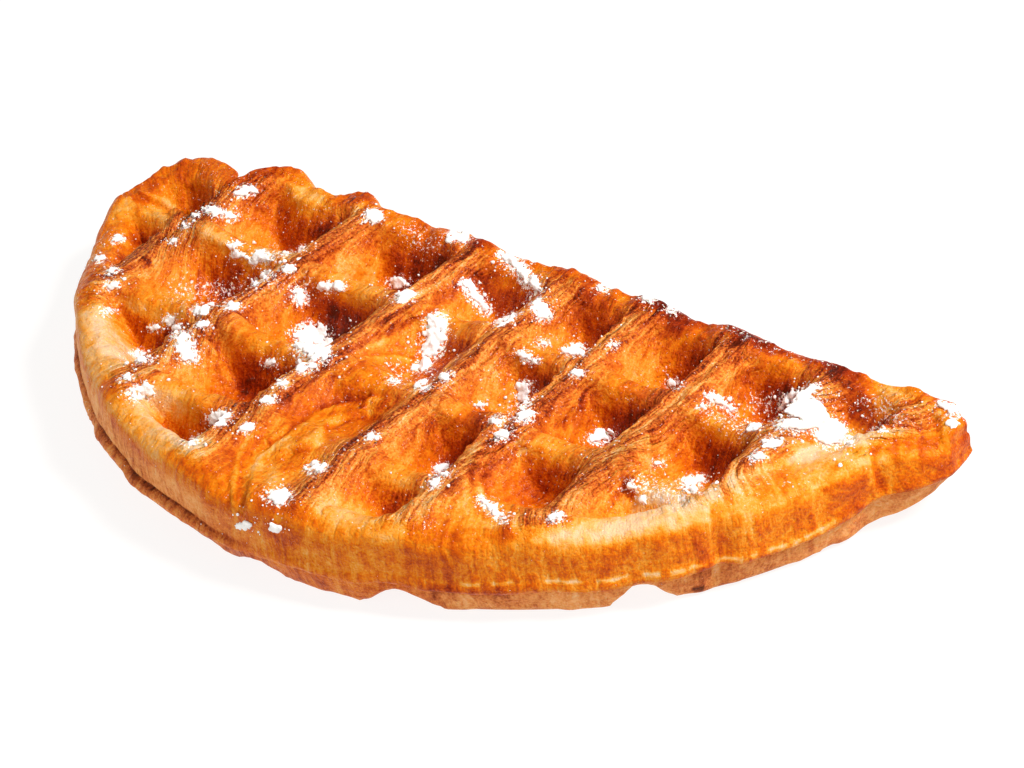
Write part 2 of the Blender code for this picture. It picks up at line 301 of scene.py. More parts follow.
@dataclass(frozen=True)
class IronGrid:
    """The ridges and pockets that the waffle iron pressed into both sides."""

    pitch: float = 0.018
    thickness: float = 0.89
    cross_level: float = 2.0
    cross_ridges: tuple[tuple[float, float], ...] = (
        (-0.62, 0.10), (0.52, 0.12), (1.74, 0.13), (2.93, 0.12), (3.98, 0.06),
        (4.83, 0.05), (5.79, 0.02), (6.76, -0.02), (7.62, -0.05), (8.70, -0.05),
    )
    long_level: float = 4.0
    long_ridges: tuple[tuple[float, float], ...] = (
        (-0.84, 0.00), (0.26, 0.00), (1.15, -0.02), (2.10, -0.03), (3.04, -0.03), (4.10, 0.00),
    )
    crest_half_width: float = 0.085
    wall_facing_right: float = 0.33
    wall_facing_left: float = 0.21
    wall_facing_front: float = 0.19
    wall_facing_back: float = 0.22
    rim_width: float = 0.20
    rim_wall: float = 0.24
    edge_round: tuple[float, float] = (0.045, 0.13)
    rounded_radius: tuple[float, float] = (3.2, 3.6)
    rounded_y: tuple[float, float] = (2.8, 2.2)
    cross_crest_reach: float = 0.24
    long_crest_reach: float = 0.15
    corner_softness: float = 0.08
    crest_softness: float = 0.07
    pocket_depth: float = 0.47
    shallow_pockets: tuple[tuple[int, int, float], ...] = (
        (0, 1, 0.18), (0, 2, 0.36), (0, 3, 0.40), (1, 1, 0.36), (1, 2, 0.38), (2, 1, 0.42),
        (3, 0, 0.05), (3, 1, 0.14), (3, 2, 0.20), (3, 3, 0.38), (4, 0, 0.26), (4, 1, 0.42), (4, 2, 0.44),
        (5, 0, 0.00), (5, 1, 0.32), (5, 2, 0.42), (5, 3, 0.44), (6, 1, 0.28), (6, 2, 0.44), (6, 3, 0.44),
        (7, 1, 0.04), (7, 2, 0.10), (7, 3, 0.42), (8, 2, 0.00), (8, 3, 0.00),
    )
    ridge_sag: float = 0.07
    tip_droop: tuple[float, float, float] = (0.12, 7.40, 8.10)
    end_droop: tuple[float, float, float] = (0.06, 0.60, -0.35)
    under_depth: float = 0.26
    under_tip_lift: tuple[float, float, float] = (0.28, 7.25, 8.05)
    under_crest_half_width: float = 0.12
    under_wall: float = 0.26
    under_rim: float = 0.16
    notches: tuple[tuple[float, float, float, float], ...] = (
        (0.13, 3.40, -0.58, 0.20), (0.21, 4.72, -0.42, 0.24), (0.26, 6.42, 0.56, 0.17),
        (0.08, 7.42, 1.82, 0.12), (0.10, 1.35, 0.25, 0.22),
    )
    notch_edge: float = 0.02

    def lines(self, x: np.ndarray, y: np.ndarray) -> tuple[list[np.ndarray], list[np.ndarray]]:
        """Where the ridges run beside each plan point.

        Args:
            x: places along the piece, in pitches.
            y: places across the piece, in pitches.

        Returns:
            For each cross ridge its X, and for each long ridge its Y, beside every place.
        """
        cross = [place + lean * (y - self.cross_level) for place, lean in self.cross_ridges]
        along = [place + lean * (x - self.long_level) for place, lean in self.long_ridges]
        return cross, along

    def lean(self, x: np.ndarray) -> np.ndarray:
        """How far the cross ridges near each X lean in each pitch of Y."""
        places, leans = zip(*self.cross_ridges)
        return np.interp(x, places, leans)

    @staticmethod
    def cell(value: np.ndarray, lines: list[np.ndarray]) -> tuple[np.ndarray, np.ndarray, np.ndarray]:
        """The cell that each value is in, and its distances from the lines on both sides.

        Args:
            value: places, along the piece or across it.
            lines: the lines, in rising order.

        Returns:
            The number of the cell, the distance from the line before it and to the line after it.
        """
        number = np.zeros(value.shape, dtype=int)
        for line in lines[1:-1]:
            number = number + (value > line)
        places = np.stack(np.broadcast_arrays(*lines))
        low = np.take_along_axis(places, number[None], axis=0)[0]
        high = np.take_along_axis(places, number[None] + 1, axis=0)[0]
        return number, value - low, high - value

    def depths(self, column: np.ndarray, row: np.ndarray) -> np.ndarray:
        """The full depth of the pocket that each plan point is in.

        Args:
            column: the pocket's column, counted from the blunt end.
            row: the pocket's row, counted from the curved side.

        Returns:
            The depth of each place's pocket, in pitches.
        """
        depth = np.full(column.shape, self.pocket_depth)
        for pocket_column, pocket_row, shallow in self.shallow_pockets:
            depth[(column == pocket_column) & (row == pocket_row)] = shallow
        return depth

    def pressed_height(self, x: np.ndarray, y: np.ndarray, rim: np.ndarray) -> np.ndarray:
        """The height of the underside over each plan point: 0 on the ridges, more in the pockets.

        Args:
            x: places along the piece, in pitches.
            y: places across the piece, in pitches.
            rim: distance of each place from the outline, in pitches.

        Returns:
            A height for each place, in pitches.
        """
        cross, along = self.lines(x, y)
        _, from_left, from_right = self.cell(x, cross)
        _, from_front, from_back = self.cell(y, along)
        walls = (
            (np.minimum(from_left, from_right) - self.under_crest_half_width) / self.under_wall,
            (np.minimum(from_front, from_back) - self.under_crest_half_width) / self.under_wall,
            (rim - self.under_rim) / self.under_wall,
            np.ones(x.shape),
        )
        lift, lift_start, lift_end = self.under_tip_lift
        height = self.under_depth * np.clip(soft_least(walls, self.corner_softness), 0.0, 1.0)
        return height + lift * ramp(x, lift_start, lift_end)

    def notch_height(self, x: np.ndarray, y: np.ndarray) -> np.ndarray:
        """How high the notches in the underside's edge reach over each plan point.

        Args:
            x: places along the piece, in pitches.
            y: places across the piece, in pitches.

        Returns:
            A height for each place, in pitches.
        """
        height = np.zeros(x.shape)
        for lift, notch_x, notch_y, half_width in self.notches:
            near = lift * bell(np.hypot(x - notch_x, y - notch_y), half_width)
            height = np.maximum(height, np.where(near > self.notch_edge, near, 0.0))
        return height


@dataclass
class Survey:
    """What is known of each point of the pastry's mesh, in pitches, radians and shares from 0 to 1."""

    x: np.ndarray
    y: np.ndarray
    down: np.ndarray
    rim: np.ndarray
    angle: np.ndarray
    radius: np.ndarray
    sunk: np.ndarray
    depth: np.ndarray
    cross_crest: np.ndarray
    long_crest: np.ndarray
    far_wall: np.ndarray
    left_wall: np.ndarray
    right_wall: np.ndarray
    cell_slope: np.ndarray
    height: np.ndarray
    low_x: np.ndarray
    low_y: np.ndarray
    bottom: np.ndarray
    level: np.ndarray

    @property
    def top(self) -> np.ndarray:
        """1 on the upper side, fading to 0 just below the edge of the side wall."""
        return ramp(self.down, 0.06, 0.0)


@dataclass(frozen=True)
class Streak:
    """A line in the plan, at the level of the ridge tops, as seen along the camera's direction."""

    start: tuple[float, float]
    end: tuple[float, float]
    half_width: float

    def distance(self, x: np.ndarray, y: np.ndarray) -> np.ndarray:
        """How far plan points are from the line.

        Args:
            x: places along the piece, in pitches.
            y: places across the piece, in pitches.

        Returns:
            A distance for each place, in pitches.
        """
        step_x = self.end[0] - self.start[0]
        step_y = self.end[1] - self.start[1]
        square = max(step_x * step_x + step_y * step_y, 1e-9)
        part = np.clip(((x - self.start[0]) * step_x + (y - self.start[1]) * step_y) / square, 0.0, 1.0)
        return np.hypot(x - self.start[0] - part * step_x, y - self.start[1] - part * step_y)


@dataclass(frozen=True)
class Stain(Streak):
    """A place that baked more than the rest, or less where the amount is negative."""

    amount: float


def stains(*rows: tuple[float, float, float, float, float, float]) -> tuple[Stain, ...]:
    """Stains, each given by its ends, half width and amount."""
    return tuple(Stain((x0, y0), (x1, y1), width, amount) for x0, y0, x1, y1, width, amount in rows)


@dataclass(frozen=True)
class Puff(Streak):
    """A place where the dough puffed up between the ridges, by its height in metres."""

    lift: float


def puffs(*rows: tuple[float, float, float, float, float, float]) -> tuple[Puff, ...]:
    """Puffs, each given by its ends, half width and height in millimetres."""
    return tuple(Puff((x0, y0), (x1, y1), width, MILLIMETRE * lift) for x0, y0, x1, y1, width, lift in rows)


class Side(Enum):
    """The side of a line in the plan that a layer of dough stands up on."""

    LEFT = 1.0
    RIGHT = -1.0


@dataclass(frozen=True)
class LeafEdge:
    """The free edge of a layer of dough: a step along a line in the plan."""

    path: tuple[tuple[float, float], ...]
    side: Side
    lift: float = 0.0006
    reach: float = 0.20
    groove: float = 0.035

    def distance(self, x: np.ndarray, y: np.ndarray) -> tuple[np.ndarray, np.ndarray]:
        """How far plan points are from the line.

        Args:
            x: places along the piece.
            y: places across the piece.

        Returns:
            The distance, which is positive on the raised side, and the share of the way along
            the line from 0 to 1.
        """
        points = np.array(self.path)
        starts = points[:-1]
        steps = points[1:] - points[:-1]
        best = np.full(x.shape, np.inf)
        signed = np.zeros(x.shape)
        share = np.zeros(x.shape)
        for number, (start, step) in enumerate(zip(starts, steps)):
            off_x = x - start[0]
            off_y = y - start[1]
            part = np.clip((off_x * step[0] + off_y * step[1]) / (step @ step), 0.0, 1.0)
            away = np.hypot(off_x - part * step[0], off_y - part * step[1])
            facing = np.sign(step[0] * off_y - step[1] * off_x) * self.side.value
            nearer = away < best
            best = np.where(nearer, away, best)
            signed = np.where(nearer, away * facing, signed)
            share = np.where(nearer, (number + part) / len(steps), share)
        return signed, share

    def marks(self, x: np.ndarray, y: np.ndarray) -> tuple[np.ndarray, np.ndarray, np.ndarray]:
        """How much each plan point belongs to the raised side, to the edge itself and to the groove.

        Args:
            x: places along the piece, in pitches.
            y: places across the piece, in pitches.

        Returns:
            Three shares from 0 to 1 for each place.
        """
        signed, share = self.distance(x, y)
        fade = ramp(share, 0.0, 0.12) * ramp(share, 1.0, 0.88)
        raised = np.exp(-np.abs(signed) / self.reach) * ramp(signed, -0.012, 0.012)
        edge = bell(signed - self.groove, 0.8 * self.groove)
        sunk = bell(signed + self.groove, self.groove)
        return fade * raised, fade * edge, fade * sunk


class Nodes:
    """Short calls for the shader nodes of one material."""

    def __init__(self, name: str) -> None:
        """Start a material with a Principled shader and nothing joined to it."""
        self.material = bpy.data.materials.new(name)
        self.material.use_nodes = True
        self.tree = self.material.node_tree
        self.shader = self.tree.nodes["Principled BSDF"]

    def feed(self, socket: Socket, value: object) -> None:
        """Join a socket to another one, or set its number or colour.

        Args:
            socket: the socket that is fed.
            value: the other socket, the number or the colour.
        """
        if isinstance(value, Socket):
            self.tree.links.new(value, socket)
        else:
            socket.default_value = value

    def attribute(self, name: str, output: str = "Fac") -> Socket:
        """A value that the mesh carries.

        Args:
            name: the value's name.
            output: which output is wanted.

        Returns:
            The socket of the value.
        """
        node = self.tree.nodes.new("ShaderNodeAttribute")
        node.attribute_name = name
        return node.outputs[output]

    def position(self) -> Socket:
        """The place on the object, in metres."""
        return self.tree.nodes.new("ShaderNodeTexCoord").outputs["Object"]

    def stretched(self, vector: Socket, scale: tuple[float, float, float]) -> Socket:
        """A place with each axis multiplied by its own scale.

        Args:
            vector: the place.
            scale: the number that each axis is multiplied by.

        Returns:
            The socket of the new place.
        """
        node = self.tree.nodes.new("ShaderNodeVectorMath")
        node.operation = "MULTIPLY"
        self.feed(node.inputs[0], vector)
        node.inputs[1].default_value = scale
        return node.outputs[0]

    def shifted(self, vector: Socket, offset: Socket) -> Socket:
        """A place moved by another vector.

        Args:
            vector: the place.
            offset: how far it moves.

        Returns:
            The socket of the new place.
        """
        node = self.tree.nodes.new("ShaderNodeVectorMath")
        node.operation = "ADD"
        self.feed(node.inputs[0], vector)
        self.feed(node.inputs[1], offset)
        return node.outputs[0]

    def wobble(self, vector: Socket, scale: float, size: float) -> Socket:
        """A vector that drifts from place to place, from about -size to size each way.

        Args:
            vector: the place.
            scale: lumps in each metre.
            size: how far it drifts, in metres.

        Returns:
            The socket of the vector.
        """
        noise = self.tree.nodes.new("ShaderNodeTexNoise")
        noise.inputs["Scale"].default_value = scale
        noise.inputs["Detail"].default_value = 2.0
        self.feed(noise.inputs["Vector"], vector)
        centred = self.tree.nodes.new("ShaderNodeVectorMath")
        centred.operation = "SUBTRACT"
        self.feed(centred.inputs[0], noise.outputs["Color"])
        centred.inputs[1].default_value = (0.5, 0.5, 0.5)
        return self.stretched(centred.outputs[0], (2.0 * size, 2.0 * size, 2.0 * size))

    def noise(
        self, vector: Socket, scale: float, detail: float = 3.0, roughness: float = 0.55
    ) -> Socket:
        """Soft random patches, mostly from 0.3 to 0.7.

        Args:
            vector: the place.
            scale: lumps in each metre.
            detail: how many finer layers of lumps are added.
            roughness: how strong the finer layers are.

        Returns:
            The socket of the value.
        """
        node = self.tree.nodes.new("ShaderNodeTexNoise")
        node.inputs["Scale"].default_value = scale
        node.inputs["Detail"].default_value = detail
        node.inputs["Roughness"].default_value = roughness
        self.feed(node.inputs["Vector"], vector)
        return node.outputs["Fac"]

    def draw(self, number: Socket) -> Socket:
        """A random value from 0 to 1 for each whole number.

        Args:
            number: the whole number.

        Returns:
            The socket of the value.
        """
        node = self.tree.nodes.new("ShaderNodeTexWhiteNoise")
        node.noise_dimensions = "1D"
        self.feed(node.inputs["W"], number)
        return node.outputs["Value"]

    def math(self, kind: str, first: object, second: object = 0.0, clamp: bool = False) -> Socket:
        """Two values added, multiplied or joined in another such way.

        Args:
            kind: Blender's name for the way that the two join.
            first: the first of the two.
            second: the second of the two.
            clamp: whether the outcome is kept from 0 to 1.

        Returns:
            The socket of the outcome.
        """
        node = self.tree.nodes.new("ShaderNodeMath")
        node.operation = kind
        node.use_clamp = clamp
        self.feed(node.inputs[0], first)
        self.feed(node.inputs[1], second)
        return node.outputs[0]

    def spread(
        self, value: Socket, start: float, end: float, low: float = 0.0, high: float = 1.0
    ) -> Socket:
        """The value with start to end stretched over low to high, and no further.

        Args:
            value: the value.
            start: the value that gives low.
            end: the value that gives high.
            low: the least outcome.
            high: the greatest outcome.

        Returns:
            The socket of the outcome.
        """
        node = self.tree.nodes.new("ShaderNodeMapRange")
        self.feed(node.inputs["Value"], value)
        for name, number in (("From Min", start), ("From Max", end), ("To Min", low), ("To Max", high)):
            node.inputs[name].default_value = number
        return node.outputs["Result"]

    def tones(self, value: Socket, stops: tuple[tuple[float, str], ...]) -> Socket:
        """A colour for the value, from a row of stops.

        Args:
            value: the value.
            stops: places on the row from 0 to 1, each with its colour.

        Returns:
            The socket of the colour.
        """
        node = self.tree.nodes.new("ShaderNodeValToRGB")
        self.feed(node.inputs["Fac"], value)
        elements = node.color_ramp.elements
        while len(elements) < len(stops):
            elements.new(0.5)
        for element, (place, code) in zip(elements, stops):
            element.position = place
            element.color = linear(code)
        return node.outputs["Color"]

    def blend(self, part: object, first: object, second: object, kind: str = "MIX") -> Socket:
        """Two colours mixed, with all of the second where part is 1.

        Args:
            part: the share of the second colour.
            first: the first of the two.
            second: the second of the two.
            kind: Blender's name for the way that the two join.

        Returns:
            The socket of the colour.
        """
        node = self.tree.nodes.new("ShaderNodeMix")
        node.data_type = "RGBA"
        node.blend_type = kind
        self.feed(node.inputs["Factor"], part)
        # A mix node has sockets of each kind, and these two are the ones for colours.
        first_colour, second_colour = node.inputs[6:8]
        self.feed(first_colour, first)
        self.feed(second_colour, second)
        return node.outputs[2]

    def bump(self, height: Socket, depth: float, below: object = None) -> Socket:
        """Fine relief of this depth in metres, over any relief that is there already.

        Args:
            height: the relief, from 0 to 1.
            depth: how deep the relief is, in metres.
            below: relief that is there already.

        Returns:
            The socket of the direction that the relief gives the surface.
        """
        node = self.tree.nodes.new("ShaderNodeBump")
        node.inputs["Distance"].default_value = depth
        self.feed(node.inputs["Height"], height)
        if below is not None:
            self.feed(node.inputs["Normal"], below)
        return node.outputs["Normal"]


@dataclass(frozen=True)
class CrustFinish:
    """Glazed crust: from pale dough to dark caramel by how much it baked and by painted shade and highlights,
    streaked along its layers.
    """

    tones: tuple[tuple[float, str], ...] = (
        (0.00, "E6BC90"), (0.14, "E7AA60"), (0.28, "E59228"), (0.42, "DC7606"), (0.54, "CC5C02"),
        (0.66, "B44402"), (0.78, "982C02"), (0.90, "781A02"), (1.00, "561002"),
    )
    band_tones: tuple[tuple[float, str], ...] = (
        (0.00, "F4C898"), (0.25, "EFB074"), (0.45, "E69650"), (0.62, "CE7236"), (0.80, "9A441A"),
        (1.00, "54220C"),
    )
    dusting: str = "FBF6F0"
    shine: str = "FFC98A"
    roughness: float = 0.40
    specular: float = 0.14
    coat: float = 0.08
    coat_roughness: float = 0.12
    depth_of_light: float = 0.0009
    light_within: float = 0.22
    light_spread: tuple[float, float, float] = (1.0, 0.35, 0.1)
    layer_relief: float = 0.0006
    strand_relief: float = 0.0004
    streak_relief: float = 0.00055
    mottle_relief: float = 0.00045
    fleck_relief: float = 0.00022
    bend_scale: float = 160.0
    bend: float = 0.0011
    patch_scale: float = 190.0
    mottle_scale: float = 800.0
    fleck_scale: float = 2800.0
    powder_scale: float = 2000.0

    def make(self) -> bpy.types.Material:
        """The material, which reads the values that Croffle puts on its mesh.

        Returns:
            The material.
        """
        nodes = Nodes("baked_crust")
        shader = nodes.shader.inputs
        place = nodes.position()
        bending = nodes.wobble(place, self.bend_scale, self.bend)
        grain = nodes.shifted(nodes.attribute("grain", "Vector"), bending)
        # The bake value from the mesh, which also holds painted shade and painted light.
        bake_and_shading = nodes.attribute("bake_and_shading")
        ply = nodes.attribute("ply")
        matte = nodes.attribute("matte")
        dust = nodes.attribute("dust")
        flaky = nodes.spread(ply, 0.46, 0.90)
        coloured = nodes.math("MULTIPLY", ply, nodes.spread(bake_and_shading, 0.02, 0.32, 0.40, 1.0))

        wide = nodes.noise(nodes.stretched(grain, (520.0, 60.0, 60.0)), 1.0, 3.0, 0.55)
        fine = nodes.noise(nodes.stretched(grain, (1500.0, 150.0, 150.0)), 1.0, 3.0, 0.6)
        patches = nodes.noise(place, self.patch_scale, 3.0, 0.5)
        mottle = nodes.noise(place, self.mottle_scale, 3.0, 0.55)
        flecks = nodes.noise(place, self.fleck_scale, 2.0, 0.6)

        order = nodes.math("ADD", nodes.attribute("strand"), nodes.spread(mottle, 0.3, 0.7, -0.08, 0.08))
        order = nodes.math("ADD", order, nodes.spread(patches, 0.3, 0.7, -0.14, 0.14))
        within = nodes.math("FRACT", order)
        own = nodes.spread(nodes.draw(nodes.math("FLOOR", order)), 0.0, 1.0, -0.11, 0.11)
        rise = nodes.spread(within, 0.0, 0.30)
        drop = nodes.spread(within, 1.0, 0.78)
        # Each strand is darker in the groove where it rises, painted shade in the crease, and paler before
        # its lip, a painted highlight on the edge.
        groove = nodes.spread(rise, 0.0, 1.0, 0.09, 0.0)
        lip = nodes.math("MULTIPLY", nodes.spread(within, 0.55, 0.80, 0.0, -0.12), drop)
        strands = nodes.math("MULTIPLY", nodes.math("ADD", own, nodes.math("ADD", groove, lip)), flaky)
        broad = nodes.spread(wide, 0.36, 0.64, -0.15, 0.15)
        streaks = nodes.math("ADD", broad, nodes.spread(fine, 0.35, 0.65, -0.20, 0.18))
        tone = nodes.math("ADD", bake_and_shading, nodes.math("ADD", strands, nodes.math("MULTIPLY", streaks, coloured)))
        tone = nodes.math("ADD", tone, nodes.spread(patches, 0.3, 0.7, -0.09, 0.09))
        tone = nodes.math("ADD", tone, nodes.spread(mottle, 0.3, 0.7, -0.10, 0.10))
        # Fine flecks of lighter and darker tone on the streaked parts; the pale flecks are painted glints.
        speckle_and_glints = nodes.math("MULTIPLY", nodes.spread(flecks, 0.30, 0.70, -0.27, 0.21), coloured)
        tone = nodes.math("ADD", tone, speckle_and_glints, clamp=True)
        crust = nodes.tones(tone, self.tones)
        band = nodes.tones(tone, self.band_tones)
        colour = nodes.blend(matte, crust, band)

        pale = nodes.noise(place, self.powder_scale, 4.0, 0.75)
        powder = nodes.spread(nodes.math("ADD", pale, nodes.math("MULTIPLY", dust, 0.27)), 0.69, 0.75)
        colour = nodes.blend(powder, colour, linear(self.dusting))
        nodes.feed(shader["Base Color"], colour)

        gloss = nodes.spread(mottle, 0.3, 0.7, self.roughness - 0.08, self.roughness + 0.10)
        gloss = nodes.math("ADD", gloss, nodes.math("MULTIPLY", matte, 0.30))
        gloss = nodes.math("ADD", gloss, nodes.math("MULTIPLY", powder, 0.40), clamp=True)
        nodes.feed(shader["Roughness"], gloss)
        shader["Specular IOR Level"].default_value = self.specular
        shader["Specular Tint"].default_value = linear(self.shine)
        shader["Subsurface Weight"].default_value = self.light_within
        shader["Subsurface Radius"].default_value = self.light_spread
        shader["Subsurface Scale"].default_value = self.depth_of_light

        low = nodes.bump(nodes.math("MULTIPLY", wide, ply), self.layer_relief)
        leaning = nodes.math("MULTIPLY", nodes.math("MINIMUM", rise, drop), within)
        layered = nodes.bump(nodes.math("MULTIPLY", leaning, flaky), self.strand_relief, low)
        streaked = nodes.math("MULTIPLY", fine, nodes.math("ADD", ply, 0.15))
        middle = nodes.bump(streaked, self.streak_relief, layered)
        rough = nodes.bump(mottle, self.mottle_relief, middle)
        nodes.feed(shader["Normal"], nodes.bump(flecks, self.fleck_relief, rough))
        nodes.feed(shader["Coat Normal"], rough)
        shader["Coat Roughness"].default_value = self.coat_roughness
        bare = nodes.math("SUBTRACT", 1.0, powder)
        nodes.feed(shader["Coat Weight"], nodes.math("MULTIPLY", bare, self.coat))
        return nodes.material


@dataclass(frozen=True)
class SugarFinish:
    """Icing sugar: matt white powder that lets a little light through."""

    colour: str = "FFFEFC"
    shaded: str = "FAF6F2"
    roughness: float = 0.85
    specular: float = 0.25
    cake_scale: float = 2400.0
    cake_relief: float = 0.00015
    light_within: float = 0.5
    depth_of_light: float = 0.0006

    def make(self) -> bpy.types.Material:
        """The material.

        Returns:
            The material.
        """
        nodes = Nodes("icing_sugar")
        place = nodes.position()
        shader = nodes.shader.inputs
        cake = nodes.noise(place, self.cake_scale, 3.0, 0.6)
        nodes.feed(shader["Base Color"], nodes.tones(cake, ((0.3, self.shaded), (0.6, self.colour))))
        shader["Roughness"].default_value = self.roughness
        shader["Specular IOR Level"].default_value = self.specular
        shader["Subsurface Weight"].default_value = self.light_within
        shader["Subsurface Radius"].default_value = (1.0, 1.0, 1.0)
        shader["Subsurface Scale"].default_value = self.depth_of_light
        nodes.feed(shader["Normal"], nodes.bump(cake, self.cake_relief))
        return nodes.material


@dataclass(frozen=True)
class Relief:
    """Heights of the fine relief and the spacing of its lumps, in metres."""

    puff: float = 0.00030
    puff_spacing: float = 0.0065
    crumple: float = 0.00014
    crumple_spacing: float = 0.0024
    layer: float = 0.00065
    layer_spacing: tuple[float, float, float] = (0.0018, 0.015, 0.015)
    thin_layer: float = 0.00030
    thin_layer_spacing: tuple[float, float, float] = (0.0010, 0.009, 0.009)
    fold: float = 0.00024
    fold_spacing: tuple[float, float, float] = (0.0042, 0.018, 0.018)
    crumb: float = 0.00020
    crumb_cut: float = 0.00008
    far_edge: float = 0.00030
    far_crumb: float = 0.00025
    hem: float = 0.0004
    lip: float = 0.0003
    flange_lip: float = 0.0009
    flange_crease: float = 0.0006


@dataclass(frozen=True)
class BakeAndShading:
    """How far each kind of place baked, from 0 to 1, and what each kind adds to that or takes away; several
    kinds are painted shade and painted light, in part or in full.
    """

    top: float = 0.42
    cross_crest: float = 0.19
    long_crest: float = 0.05
    # Far walls: partly a deeper bake, partly painted shade.
    far_wall: float = 0.40
    # Walls that face the lamp: painted light, taken off the bake.
    left_wall: float = 0.07
    # Walls turned away from the lamp: painted shade.
    right_wall: float = 0.17
    # Deep pocket floors: partly a deeper bake, partly painted shade.
    pocket_floor_bake_and_shade: float = 0.16
    # Along the straight side: partly darker crumbs, partly painted shade.
    far_edge: float = 0.22
    far_edge_y: tuple[float, float] = (2.72, 3.02)
    far_edge_left: tuple[float, float] = (1.9, 2.6)
    far_edge_right: tuple[float, float] = (7.3, 6.9)
    side_wall: float = 0.40
    below_rim: float = 0.08
    below_seam: float = 0.06
    crease: float = 0.40
    # The next two are the layer edges' painted highlight and painted shade.
    # Under the flange's lip: painted shade.
    under_lip_shade: float = 0.40
    pale_rim: float = 0.36
    leaf_edge_highlight: float = 0.16
    leaf_groove_shade: float = 0.13
    patches: float = 0.09
    streaks: float = 0.05


